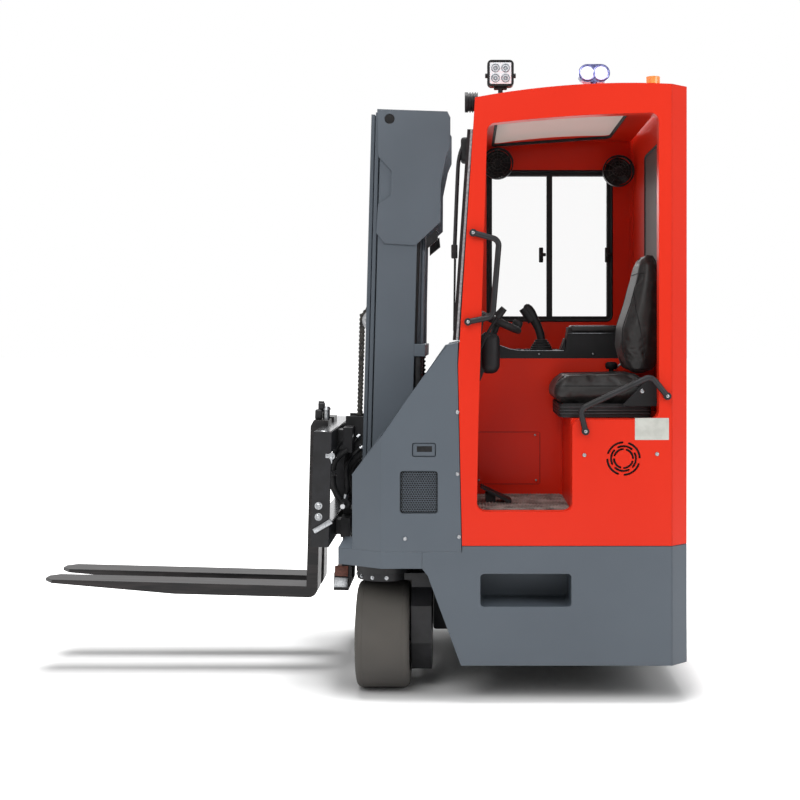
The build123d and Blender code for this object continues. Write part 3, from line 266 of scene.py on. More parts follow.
def seat_vinyl():
    """Seat vinyl: near-black, grained like leather, with a low sheen on its crowns."""
    settings = {"Roughness": 0.44, "Specular IOR Level": 0.3, "Sheen Weight": 0.05}
    material, tree, shader = start_material("grained_seat_vinyl", settings)
    paint(tree, shader, noise(tree, 0.06, 4), "#141313", "#201e1d")
    place = add(tree, "ShaderNodeTexCoord")
    settings = {"feature": "DISTANCE_TO_EDGE", "Scale": 1 / 0.0035}
    grain = add(tree, "ShaderNodeTexVoronoi", settings, {"Vector": place.outputs["Object"]})
    bump(tree, shader, grain.outputs["Distance"], 0.00035)
    return material


def lamp_glow(name, code, strength):
    """A lit lens: its own pale light over a clear gloss."""
    settings = {
        "Base Color": linear(code),
        "Roughness": 0.12,
        "Coat Weight": 0.6,
        "Emission Color": linear(code),
        "Emission Strength": strength,
    }
    material, tree, shader = start_material(name, settings)
    bump(tree, shader, noise(tree, 0.004, 1), 0.0001)
    return material


def reflector(name, low, high):
    """Vacuum-metallised plastic, tinted between two hex colours."""
    return clouded(name, {"Metallic": 1.0, "Roughness": 0.2}, (0.01, 2), low, high)


def clouded(name, settings, cloud, low, high, grain=None, depth=0.0, ends=(0.35, 0.65)):
    """A material clouded between two hex colours, with a fine grain pressed in to a depth."""
    material, tree, shader = start_material(name, settings)
    paint(tree, shader, noise(tree, *cloud), low, high, *ends)
    if grain:
        bump(tree, shader, noise(tree, *grain), depth)
    return material


# Plain finishes: name and settings, then cloud, two hex colours, grain, its depth and the blend's ends
CLOUDED = {
    # Ground and chromed rod steel: bright, with fine rings from grinding
    "steel": (
        "ground_rod_steel", {"Metallic": 1.0, "Roughness": 0.2},
        (0.01, 4), "#88898c", "#b4b5b7", (0.0015, 2, (1, 1, 8)), 0.00003,
    ),
    # Zinc-plated screw steel: pale, slightly mottled metal
    "zinc": (
        "zinc_plated_steel", {"Metallic": 1.0, "Roughness": 0.3},
        (0.006, 3), "#808285", "#a4a6a8",
    ),
    # Oiled steel of the leaf chains and fan wires: dark with a wet sheen
    "chain": (
        "oiled_chain_steel", {"Metallic": 0.85, "Roughness": 0.36},
        (0.01, 4), "#222223", "#4b4844", (0.002, 3), 0.0001,
    ),
    # Press-on band rubber: dull grey-brown, faintly clouded
    "tyre": (
        "press_on_band_rubber", {"Roughness": 0.82, "Specular IOR Level": 0.3},
        (0.3, 2), "#474543", "#524f4b", (0.003, 5), 0.0002, (0.3, 0.7),
    ),
    # Black rubber of the seals, hoses, piping and grips: dull with a soft sheen
    "rubber": (
        "extruded_black_rubber", {"Roughness": 0.62, "Specular IOR Level": 0.2},
        (0.03, 4), "#131314", "#222223", (0.004, 3), 0.0001,
    ),
    # Worn ribbed floor rubber: grey dust over black, rubbed in patches by shoes
    "mat": (
        "worn_floor_rubber", {"Roughness": 0.8},
        (0.05, 6), "#4a4643", "#928b85", (0.005, 5), 0.0004, (0.35, 0.68),
    ),
    # Brown cast polyamide: wear pads, scuffed to a lighter brown
    "brown_pad": (
        "brown_cast_polyamide", {"Roughness": 0.55},
        (0.01, 4), "#5a2f22", "#7a4433",
    ),
    # Amber polycarbonate: deep orange with a glow where light passes
    "amber": (
        "amber_polycarbonate",
        {
            "Roughness": 0.2,
            "Coat Weight": 0.5,
            "Emission Color": linear("#f07818"),
            "Emission Strength": 0.25,
        },
        (0.02, 2), "#e87d1e", "#f59a3c",
    ),
    # Blank label vinyl: a pale satin film
    "label": (
        "blank_label_vinyl", {"Roughness": 0.4},
        (0.03, 3), "#b4b5ae", "#c3c4bd",
    ),
    # Smoked sun film on the rear pane: grey-brown, letting little light through
    "shade": (
        "smoked_sun_film", {"Roughness": 0.5, "Alpha": 0.85},
        (0.3, 2), "#4d4340", "#625551",
    ),
    # Painted battery tray steel: plain dark grey, also for the lever's collar and for the beads that
    # paint highlights on the seat bellows' folds
    "battery": (
        "battery_tray_paint", {"Roughness": 0.6},
        (0.08, 3), "#2b2c2e", "#3a3b3d",
    ),
}


class Finishes:
    """The materials, made once and looked up by plain names."""

    table = {}

    @classmethod
    def make(cls, props):
        """Makes every material."""
        cls.table = {
            "red": red_enamel(props),
            "grey": grey_powder(props),
            "deck": deck_coat(props),
            "black": black_enamel(),
            "fork": forged_fork(),
            "glass": clear_glass(),
            "abs": moulded_black(),
            "vinyl": seat_vinyl(),
            "white_lamp": lamp_glow("lit_white_lens", "#cfd2d6", 0.25),
            "blue_lamp": lamp_glow("lit_cool_lens", "#e6e9ff", 0.75),
            # This metallised finish also colours the console's beads that paint highlights along its
            # edges
            "reflector": reflector("grey_metallised_reflector", "#7c7e83", "#a5a7ac"),
            "violet_chrome": reflector("violet_chromed_shell", "#4d4f78", "#8486b4"),
        }
        for name, values in CLOUDED.items():
            cls.table[name] = clouded(*values)


# The CAD nodes of each finish
NODE_FINISH = {
    "grey": (
        "side_skirt_left side_skirt_right counterweight front_housing_left front_housing_right "
        "mast_outer_rails mast_outer_frame mast_covers mast_middle_rails mast_middle_frame "
        "mast_inner_rails mast_inner_frame rim_left rim_right rim_rear"
    ),
    "red": "cab_side_left cab_side_right cab_rear_panel cab_roof cab_cowl aisle_wall seat_deck",
    "deck": "front_deck_left front_deck_right",
    "black": (
        "chassis_frame steer_unit_left steer_unit_right steer_unit_rear carriage side_shift_frame "
        "tilt_barrels grab_handles"
    ),
    "fork": "forks",
    "steel": "lift_head tilt_rods",
    "chain": "lift_chains",
    "battery": "battery",
    "tyre": "tyre_left tyre_right tyre_rear",
    "glass": "windscreen window_panes",
    "abs": "side_window_frame console steering_column steering_wheel cab_fans work_lamps",
    "violet_chrome": "twin_lamp",
    "rubber": "seat_bellows drive_pedal",
    "mat": "cab_floor",
    "vinyl": "seat_cushion seat_back",
    "amber": "beacon",
}

# The paint slot of each finish, which to_piece looks up unless the call names another, though it sets it
# on nothing
SLOT_OF = {
    "grey": "grey_paint",
    "black": "black_paint",
    "brown_pad": "black_paint",
    "steel": "plain_steel",
    "zinc": "plain_steel",
    "chain": "chain_steel",
    "tyre": "tyre_rubber",
    "abs": "black_plastic",
    "rubber": "black_plastic",
    "battery": "black_plastic",
    "vinyl": "seat_cloth",
    "mat": "floor_rubber",
    "white_lamp": "clear_glass",
    "blue_lamp": "clear_glass",
    "shade": "clear_glass",
    "reflector": "lamp_body",
    "violet_chrome": "lamp_body",
    "label": "lamp_body",
}


# Meshes
def to_piece(name, mesh, material, body="truck", slot=None):
    """Links a finished mesh as a piece that rides on a body."""
    piece = bpy.data.objects.new(name, mesh)
    bpy.context.scene.collection.objects.link(piece)
    mesh.materials.clear()
    mesh.materials.append(Finishes.table[material])
    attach(piece, body)
    slot = slot or SLOT_OF[material]
    return piece


def mesh_of(name, work, smooth=None):
    """A mesh from a bmesh, its normals outward, smooth where faces meet at less than the angle."""
    bmesh.ops.recalc_face_normals(work, faces=work.faces)
    if smooth:
        limit = math.radians(smooth)
        for face in work.faces:
            face.smooth = True
        for edge in work.edges:
            edge.smooth = len(edge.link_faces) == 2 and edge.calc_face_angle(0.0) < limit
    mesh = bpy.data.meshes.new(name)
    work.to_mesh(mesh)
    work.free()
    return mesh


@contextmanager
def new_piece(name, material, body="truck", slot=None, smooth=40.0):
    """Gives an empty bmesh to fill, and makes it a piece when the block ends."""
    work = bmesh.new()
    yield work
    to_piece(name, mesh_of(name, work, smooth), material, body, slot)


def put_block(work, low, high, bevel=0.0, segments=2, matrix=None):
    """Adds a box between two corners with bevelled edges."""
    low, high = Vector(low), Vector(high)
    size = high - low
    place = Matrix.Translation((low + high) / 2) @ Matrix.Diagonal((*size, 1))
    made = bmesh.ops.create_cube(work, size=1.0, matrix=place)
    if bevel:
        edges = {e for v in made["verts"] for e in v.link_edges}
        made = bmesh.ops.bevel(
            work,
            geom=list(edges),
            offset=min(bevel, min(size) * 0.49),
            segments=segments,
            affect="EDGES",
            profile=0.5,
        )
    if matrix is not None:
        bmesh.ops.transform(work, matrix=matrix, verts=made["verts"])


def put_rod(work, start, end, radius, sides=20, radius_end=None):
    """Adds a round bar or cone from one point to another."""
    start, end = Vector(start), Vector(end)
    axis = end - start
    turn = Vector(UP).rotation_difference(axis).to_matrix().to_4x4()
    bmesh.ops.create_cone(
        work,
        cap_ends=True,
        segments=sides,
        radius1=radius,
        radius2=radius if radius_end is None else radius_end,
        depth=axis.length,
        matrix=Matrix.Translation((start + end) / 2) @ turn,
    )


def circle(work, place, radius, height, sides):
    """Adds points round the local Z of a matrix, or one point where the radius is nil."""
    ring = []
    for i in range(sides if radius > 1e-6 else 1):
        turn = 2 * math.pi * i / sides
        spot = Vector((radius * math.cos(turn), radius * math.sin(turn), height))
        ring.append(work.verts.new(place @ spot))
    return ring


def point_row(text):
    """Points from a text of X, Y and Z between commas."""
    return [tuple(float(number) for number in point.split()) for point in text.split(",")]


def join_rings(work, one, two, shift=0):
    """Adds the faces between two rings of as many points."""
    count = len(one)
    for i in range(count):
        j = (i + 1) % count
        work.faces.new((one[i], one[j], two[(j + shift) % count], two[(i + shift) % count]))


def put_lathe(work, profile, place, sides=32):
    """Adds a closed turned form from (radius, height) points about the local Z of a matrix."""
    rings = [circle(work, place, radius, height, sides) for radius, height in profile]
    for low, high in zip(rings, rings[1:]):
        count = max(len(low), len(high))
        for i in range(count):
            j = (i + 1) % count
            below = [low[k % len(low)] for k in (i, j)]
            above = [high[k % len(high)] for k in (j, i)]
            corners = list(dict.fromkeys(below + above))
            if len(corners) > 2:
                work.faces.new(corners)


def facing(point, direction):
    """A matrix at the point whose local Z looks along the direction."""
    turn = Vector(UP).rotation_difference(Vector(direction)).to_matrix().to_4x4()
    return Matrix.Translation(point) @ turn


def put_prism(work, points, y0, y1):
    """Adds a side outline of (x, z) points carried from y0 to y1."""
    near = [work.verts.new((x, y0, z)) for x, z in points]
    far = [work.verts.new((x, y1, z)) for x, z in points]
    work.faces.new(near)
    work.faces.new(far[::-1])
    count = len(points)
    for i in range(count):
        j = (i + 1) % count
        work.faces.new((near[j], near[i], far[i], far[j]))


def put_ring(work, place, radius, tube, sides=40, around=8):
    """Adds a torus about the local Z of a matrix."""
    rings = []
    for i in range(sides):
        turn = 2 * math.pi * i / sides
        ring = []
        for j in range(around):
            lift = 2 * math.pi * j / around
            reach = radius + tube * math.cos(lift)
            spot = Vector((reach * math.cos(turn), reach * math.sin(turn), tube * math.sin(lift)))
            ring.append(work.verts.new(place @ spot))
        rings.append(ring)
    for i in range(sides):
        one, two = rings[i], rings[(i + 1) % sides]
        for j in range(around):
            k = (j + 1) % around
            work.faces.new((one[j], two[j], two[k], one[k]))


def bead(work, points, radius, sides=6, closed=False):
    """Adds a tube along a line of points, of one radius or one for each point."""
    count = len(points)
    sizes = radius if isinstance(radius, (list, tuple)) else [radius] * count
    rings = []
    for i, point in enumerate(points):
        before = Vector(points[i - 1] if i or closed else points[i])
        after = Vector(points[(i + 1) % count] if i < count - 1 or closed else points[i])
        rings.append(circle(work, facing(point, after - before), sizes[i], 0, sides))
    for one, two in zip(rings, rings[1:] + rings[:1] if closed else rings[1:]):
        shift = min(range(sides), key=lambda k: (two[k].co - one[0].co).length)
        join_rings(work, one, two, shift)
    if not closed:
        work.faces.new(rings[0][::-1])
        work.faces.new(rings[-1])


def lean_matrix():
    """Leans a form drawn upright back about the mast's pivot."""
    turn = Matrix.Rotation(-LEAN, 4, "Y")
    return Matrix.Translation(PIVOT) @ turn @ Matrix.Translation(-PIVOT)


def rounded_path(x0, x1, y0, y1, corner, steps=8):
    """Points round a rectangle with rounded corners, as (x, y) pairs."""
    path = []
    centres = ((x1 - corner, y1 - corner, 0), (x0 + corner, y1 - corner, 90))
    centres += ((x0 + corner, y0 + corner, 180), (x1 - corner, y0 + corner, 270))
    for cx, cy, start in centres:
        for i in range(steps + 1):
            turn = math.radians(start + 90 * i / steps)
            path.append((cx + corner * math.cos(turn), cy + corner * math.sin(turn)))
    return path


def swept(name, points, radius, material, body="truck", smooth=True):
    """A round tube along a smooth or straight line of control points."""
    curve = bpy.data.curves.new(name, "CURVE")
    curve.dimensions = "3D"
    curve.bevel_depth = radius
    curve.bevel_resolution = 2
    curve.resolution_u = 6
    curve.use_fill_caps = True
    line = curve.splines.new("NURBS" if smooth else "POLY")
    line.points.add(len(points) - 1)
    for spot, point in zip(line.points, points):
        spot.co = (*point, 1)
    if smooth:
        line.order_u = 3
        line.use_endpoint_u = True
    holder = bpy.data.objects.new(name, curve)
    bpy.context.scene.collection.objects.link(holder)
    bpy.context.view_layer.update()
    graph = bpy.context.evaluated_depsgraph_get()
    mesh = bpy.data.meshes.new_from_object(holder.evaluated_get(graph))
    mesh.name = name
    bpy.data.objects.remove(holder)
    for face in mesh.polygons:
        face.use_smooth = True
    to_piece(name, mesh, material, body)


# Repeats by Geometry Nodes
def repeat_tree():
    """A tree that sets a copy of one shape on each point, turned to the point's aim."""
    tree = bpy.data.node_groups.new("set_on_points", "GeometryNodeTree")
    kinds = {"Geometry": "Geometry", "Shape": "Object", "Finish": "Material", "Size": "Float"}
    for name, kind in kinds.items():
        tree.interface.new_socket(name=name, in_out="INPUT", socket_type=f"NodeSocket{kind}")
    tree.interface.new_socket(name="Geometry", in_out="OUTPUT", socket_type="NodeSocketGeometry")
    given = add(tree, "NodeGroupInput")
    links = {}
    for name, axis in (("aim", "Z"), ("side", "X")):
        settings = {"data_type": "FLOAT_VECTOR", "Name": name}
        read = add(tree, "GeometryNodeInputNamedAttribute", settings)
        links["Vector"] = read.outputs["Attribute"]
        settings = {"axis": axis, "pivot_axis": "Z" if links.get("Rotation") else "AUTO"}
        turn = add(tree, "FunctionNodeAlignRotationToVector", settings, links)
        links = {"Rotation": turn.outputs["Rotation"]}
    shape = add(tree, "GeometryNodeObjectInfo", None, {"Object": given.outputs["Shape"]})
    points = add(tree, "GeometryNodeMeshToPoints", None, {"Mesh": given.outputs["Geometry"]})
    links["Points"] = points.outputs["Points"]
    links["Instance"] = shape.outputs["Geometry"]
    links["Scale"] = given.outputs["Size"]
    copies = add(tree, "GeometryNodeInstanceOnPoints", None, links)
    real = add(tree, "GeometryNodeRealizeInstances", None, {"Geometry": copies.outputs["Instances"]})
    links = {"Geometry": real.outputs["Geometry"], "Material": given.outputs["Finish"]}
    painted = add(tree, "GeometryNodeSetMaterial", None, links)
    add(tree, "NodeGroupOutput", None, {"Geometry": painted.outputs["Geometry"]})
    return tree


def socket_id(tree, name):
    """The identifier of a tree's input, by which a modifier sets it."""
    for item in tree.interface.items_tree:
        if item.item_type == "SOCKET" and item.in_out == "INPUT" and item.name == name:
            return item.identifier
    raise KeyError(name)


def repeated(name, shape_mesh, spots, material, body="truck"):
    """Copies of one small shape at (point, aim, side) spots, joined to one piece."""
    tree = bpy.data.node_groups.get("set_on_points") or repeat_tree()
    holder_mesh = bpy.data.meshes.new(name + "_spots")
    holder_mesh.from_pydata([spot[0] for spot in spots], [], [])
    for key, index in (("aim", 1), ("side", 2)):
        layer = holder_mesh.attributes.new(key, "FLOAT_VECTOR", "POINT")
        for i, spot in enumerate(spots):
            layer.data[i].vector = spot[index]
    holder = bpy.data.objects.new(name + "_spots", holder_mesh)
    shape = bpy.data.objects.new(name + "_shape", shape_mesh)
    for item in (holder, shape):
        bpy.context.scene.collection.objects.link(item)
    modifier = holder.modifiers.new("repeat", "NODES")
    modifier.node_group = tree
    modifier[socket_id(tree, "Shape")] = shape
    modifier[socket_id(tree, "Finish")] = Finishes.table[material]
    modifier[socket_id(tree, "Size")] = 1.0
    bpy.context.view_layer.update()
    graph = bpy.context.evaluated_depsgraph_get()
    mesh = bpy.data.meshes.new_from_object(holder.evaluated_get(graph))
    mesh.name = name
    holder.modifiers.remove(modifier)
    for item in (holder, shape):
        bpy.data.objects.remove(item)
    return to_piece(name, mesh, material, body)


def hex_bolt(radius, height):
    """A hexagon head on a washer, standing on the local XY plane."""
    work = bmesh.new()
    wide, top = radius * 1.55, height * 0.8
    washer = [(0, -0.0005), (wide, -0.0005), (wide, 0.001), (0, 0.001)]
    head = [(0, 0.0008), (radius, 0.0008), (radius, top), (radius * 0.86, height), (0, height)]
    for profile, sides in ((washer, 12), (head, 6)):
        put_lathe(work, profile, Matrix.Identity(4), sides)
    return mesh_of("hex_bolt", work)


def dome_bolt(radius):
    """A low domed screw head with a round socket."""
    work = bmesh.new()
    height = 0.0045
    profile = [(0, -0.0004), (radius, -0.0004), (radius * 0.96, height * 0.4)]
    profile += [(radius * 0.78, height * 0.82), (radius * 0.45, height)]
    profile += [(radius * 0.42, height * 0.4), (0, height * 0.4)]
    put_lathe(work, profile, Matrix.Identity(4), 12)
    return mesh_of("dome_bolt", work)


# Settings
class TruckLooks(PropertyGroup):
    """Sizes and colours that a user would change."""

    red_low: FloatVectorProperty(
        name="Red, low",
        description="Darker red of the cab's enamel",
        subtype="COLOR",
        default=linear("#d42813")[:3],
    )
    red_high: FloatVectorProperty(
        name="Red, high",
        description="Brighter red of the cab's enamel",
        subtype="COLOR",
        default=linear("#de3018")[:3],
    )
    grey_low: FloatVectorProperty(
        name="Grey, low",
        description="Darker grey of the powder coat",
        subtype="COLOR",
        default=linear("#4e555d")[:3],
    )
    grey_high: FloatVectorProperty(
        name="Grey, high",
        description="Brighter grey of the powder coat",
        subtype="COLOR",
        default=linear("#596169")[:3],
    )
    lens: FloatProperty(
        name="Lens",
        description="Focal length of the camera",
        default=54.7,
        min=20.0,
        max=120.0,
        unit="CAMERA",
    )
    distance: FloatProperty(
        name="Distance",
        description="Camera's distance from the truck's long middle plane",
        default=5.1,
        unit="LENGTH",
    )
    eye_height: FloatProperty(
        name="Eye height",
        description="Camera's height over the floor",
        default=1.372,
        unit="LENGTH",
    )
    swell: FloatProperty(
        name="Seat swell",
        description="How far the cloth simulation may push the seat's skin outward",
        default=0.014,
        unit="LENGTH",
    )
    frames: IntProperty(
        name="Cloth frames",
        description="Frames of the seat's cloth simulation",
        default=20,
        min=1,
        max=60,
    )


def looks():
    """The scene's settings."""
    return bpy.context.scene.truck_looks


class TRUCK_OT_finishes(Operator):
    """Makes the materials and gives each CAD node its finish"""

    bl_idname = "truck.finishes"
    bl_label = "Finishes"

    def execute(self, context):
        Finishes.make(looks())
        for name, names in NODE_FINISH.items():
            for node in names.split():
                mesh = NODES[node].data
                mesh.materials.clear()
                mesh.materials.append(Finishes.table[name])
        return {"FINISHED"}


def background_rays(tree):
    """One for rays that show the plain background: from the camera, a gloss or through glass."""
    path = add(tree, "ShaderNodeLightPath")
    seen = path.outputs["Is Camera Ray"]
    for kind in ("Is Glossy Ray", "Is Transmission Ray"):
        links = {0: seen, 1: path.outputs[kind]}
        seen = add(tree, "ShaderNodeMath", {"operation": "MAXIMUM"}, links).outputs[0]
    return seen


def pale_floor():
    """Plain pale floor: shaded near the truck, a plain white background farther out."""
    settings = {
        "Roughness": 0.9,
        "Base Color": linear("#dcdcdc"),
        "Specular IOR Level": 0.1,
        "Emission Color": linear("#ffffff"),
    }
    material, tree, shader = start_material("pale_floor", settings)
    spot = add(tree, "ShaderNodeTexCoord").outputs["Object"]
    steps = (
        {"operation": "SUBTRACT", 1: SHADOW_MIDDLE},
        {"operation": "ABSOLUTE"},
        {"operation": "SUBTRACT", 1: SHADOW_HALF},
        {"operation": "MAXIMUM", 1: (0, 0, 0)},
    )
    for settings in steps:
        spot = add(tree, "ShaderNodeVectorMath", settings, {0: spot}).outputs["Vector"]
    far = add(tree, "ShaderNodeVectorMath", {"operation": "LENGTH"}, {0: spot})
    settings = {"From Min": 0.0, "From Max": SHADOW_FADE, "interpolation_type": "SMOOTHSTEP"}
    glow = add(tree, "ShaderNodeMapRange", settings, {"Value": far.outputs["Value"]})
    links = {0: glow.outputs["Result"], 1: background_rays(tree)}
    shown = add(tree, "ShaderNodeMath", {"operation": "MULTIPLY"}, links)
    tree.links.new(shown.outputs[0], shader.inputs["Emission Strength"])
    return material


class TRUCK_OT_stage(Operator):
    """Sets the floor, the lamps, the world and the camera"""

    bl_idname = "truck.stage"
    bl_label = "Stage"

    def execute(self, context):
        scene = context.scene
        props = looks()
        scene.view_settings.view_transform = "Standard"
        floor_mesh = bpy.data.meshes.new("floor")
        reach = FLOOR_REACH
        corners = [(-reach, -reach, 0), (reach, -reach, 0), (reach, reach, 0), (-reach, reach, 0)]
        floor_mesh.from_pydata(corners, [], [(0, 1, 2, 3)])
        floor_mesh.materials.append(pale_floor())
        floor = bpy.data.objects.new("floor", floor_mesh)
        scene.collection.objects.link(floor)
        world = bpy.data.worlds.new("studio")
        scene.world = world
        world.use_nodes = True
        tree = world.node_tree
        tree.nodes.clear()
        links = {0: background_rays(tree)}
        for socket, strength in ((1, 0.3), (2, 1.0)):
            settings = {"Color": linear("#ffffff"), "Strength": strength}
            links[socket] = add(tree, "ShaderNodeBackground", settings).outputs[0]
        mix = add(tree, "ShaderNodeMixShader", None, links)
        add(tree, "ShaderNodeOutputWorld", None, {"Surface": mix.outputs[0]})
        # Name, place, what it looks at, size and power
        lamps = (
            ("key", (1.0, 4.1, 4.8), (-0.4, 0, 1.1), 2.8, 122),
            ("fill", (-4.2, 3.4, 2.8), (-0.6, 0, 1.1), 2.6, 88),
            ("front", (4.5, 1.2, 2.6), (0.0, 0, 0.8), 2.6, 26),
            ("back", (-1.2, -4.6, 3.6), (-0.4, 0, 1.1), 2.8, 76),
            ("top", (0.1, 0.0, 9.5), (0.1, 0, 0), 3.4, 1020),
        )
        for name, place, target, size, power in lamps:
            light = bpy.data.lights.new(name, "AREA")
            light.shape = "SQUARE"
            light.size = size
            light.energy = power
            lamp = bpy.data.objects.new(name, light)
            lamp.location = place
            aim = Vector(target) - Vector(place)
            lamp.rotation_euler = aim.to_track_quat("-Z", "Y").to_euler()
            scene.collection.objects.link(lamp)
        camera_data = bpy.data.cameras.new("camera")
        camera_data.lens = props.lens
        camera_data.sensor_width = 36.0
        camera_data.shift_x = (PHOTO / 2 - EYE_PIXEL[0]) / PHOTO
        camera_data.shift_y = (EYE_PIXEL[1] - PHOTO / 2) / PHOTO
        camera = bpy.data.objects.new("camera", camera_data)
        camera.location = (EYE_X, props.distance, props.eye_height)
        camera.rotation_euler = (math.radians(90), 0, math.radians(180))
        scene.collection.objects.link(camera)
        scene.camera = camera
        return {"FINISHED"}


def side_spots(points, y, side=1):
    """Spots on a side plane from (x, z) pairs, aimed outward."""
    return [((x, side * y, z), (0, side, 0), AHEAD) for x, z in points]


class TRUCK_OT_bolts(Operator):
    """Sets the screw heads of the panels, handles, aisle wall and console"""

    bl_idname = "truck.bolts"
    bl_label = "Bolts"

    def execute(self, context):
        panel = [(-0.413, 1.079), (-0.413, 0.850), (-0.419, 0.617), (-0.219, 0.610)]
        panel += [(-0.883, 0.920), (-1.152, 0.924)]
        spots = side_spots(panel, HALF) + side_spots(panel, HALF, -1)
        repeated("panel_screws", dome_bolt(0.008), spots, "zinc")
        ends = [(-0.452, 1.413), (-0.471, 1.742), (-0.886, 1.009), (-1.188, 1.139)]
        repeated("handle_screws", dome_bolt(0.007), side_spots(ends, HANDLE_FACE), "zinc")
        inside = side_spots([(-0.728, 0.954), (-0.732, 0.769), (-0.498, 0.769)], AISLE_FACE + 0.002)
        inside += side_spots([(-0.745, 1.286), (-0.966, 1.286)], AISLE_FACE)
        repeated("inside_screws", dome_bolt(0.0045), inside, "zinc")
        return {"FINISHED"}


def swell_cloth(work, name, limit, frames):
    """Inflates a closed form with a cloth simulation and caps how far each point moves."""
    mesh = mesh_of(name + "_form", work)
    form = bpy.data.objects.new(name + "_form", mesh)
    bpy.context.scene.collection.objects.link(form)
    bpy.context.view_layer.objects.active = form
    remesh = form.modifiers.new("even", "REMESH")
    remesh.mode = "VOXEL"
    remesh.voxel_size = 0.006
    bpy.ops.object.modifier_apply(modifier=remesh.name)
    rest = [v.co.copy() for v in form.data.vertices]
    cloth = form.modifiers.new("cloth", "CLOTH")
    cloth.settings.use_pressure = True
    cloth.settings.uniform_pressure_force = 4.0
    cloth.settings.effector_weights.gravity = 0.0
    cloth.settings.quality = 5
    for number in range(1, frames + 1):
        bpy.context.scene.frame_set(number)
    graph = bpy.context.evaluated_depsgraph_get()
    moved = bpy.data.meshes.new_from_object(form.evaluated_get(graph))
    form.modifiers.remove(cloth)
    for vertex, start, end in zip(form.data.vertices, rest, moved.vertices):
        shift = end.co - start
        if shift.length > limit:
            shift *= limit / shift.length
        vertex.co = start + shift
    bpy.context.scene.frame_set(1)
    result = bmesh.new()
    result.from_mesh(form.data)
    bpy.data.objects.remove(form)
    return result


def seam(work, tree, starts, aim):
    """Adds piping where a row of rays meets a padded form."""
    hits = [tree.ray_cast(Vector(start), Vector(aim))[0] for start in starts]
    bead(work, [hit for hit in hits if hit], PIPING, 6)


def smooth_row(points, steps):
    """More points along a line of control points, set out evenly between each two."""
    row = []
    for one, two in zip(points, points[1:]):
        row += [Vector(one).lerp(Vector(two), i / steps) for i in range(steps)]
    return [*row, Vector(points[-1])]


# Rows of the back rest: height over its foot, front and rear X, share of its width
BACK_ROWS = (
    (0.012, -1.066, -1.172, 0.80),
    (0.10, -1.046, -1.178, 0.94),
    (0.18, -1.054, -1.180, 1.0),
    (0.27, -1.084, -1.182, 0.97),
    (0.36, -1.108, -1.180, 0.90),
    (0.43, -1.124, -1.176, 0.74),
    (0.468, -1.140, -1.168, 0.5),
)


def cushion_form(low, high):
    """The seat cushion as a closed block, let down at its front edge and rear."""
    work = bmesh.new()
    inset = Vector((0.012, 0.012, 0.008))
    put_block(work, low + inset, high - inset, 0.045, 6)
    for vertex in work.verts:
        along = (vertex.co.x - low.x) / (high.x - low.x)
        if vertex.co.z > low.z + 0.03:
            vertex.co.z -= 0.02 * max(0.0, along - 0.75) * 4
            vertex.co.z -= 0.014 * max(0.0, 0.35 - along)
    return work


def back_form(low, high):
    """The back rest as a closed form of squared rings, hollowed a little at its front."""
    work = bmesh.new()
    middle = (low.y + high.y) / 2
    rings = []
    for rise, front, rear, share in BACK_ROWS:
        wide = (high.y - low.y) / 2 * share - 0.008
        ring = []
        for i in range(24):
            turn = 2 * math.pi * i / 24
            c, s = math.cos(turn), math.sin(turn)
            round_y = math.copysign(abs(s) ** 0.55, s)
            round_x = math.copysign(abs(c) ** 0.8, c)
            x = (front + rear) / 2 + (front - rear) / 2 * round_x
            if c > 0:
                x += 0.012 * abs(round_y) ** 3
            ring.append(work.verts.new((x, middle + wide * round_y, low.z + rise)))
        rings.append(ring)
    for lower, upper in zip(rings, rings[1:]):
        join_rings(work, lower, upper)
    work.faces.new(rings[0][::-1])
    work.faces.new(rings[-1])
    return work


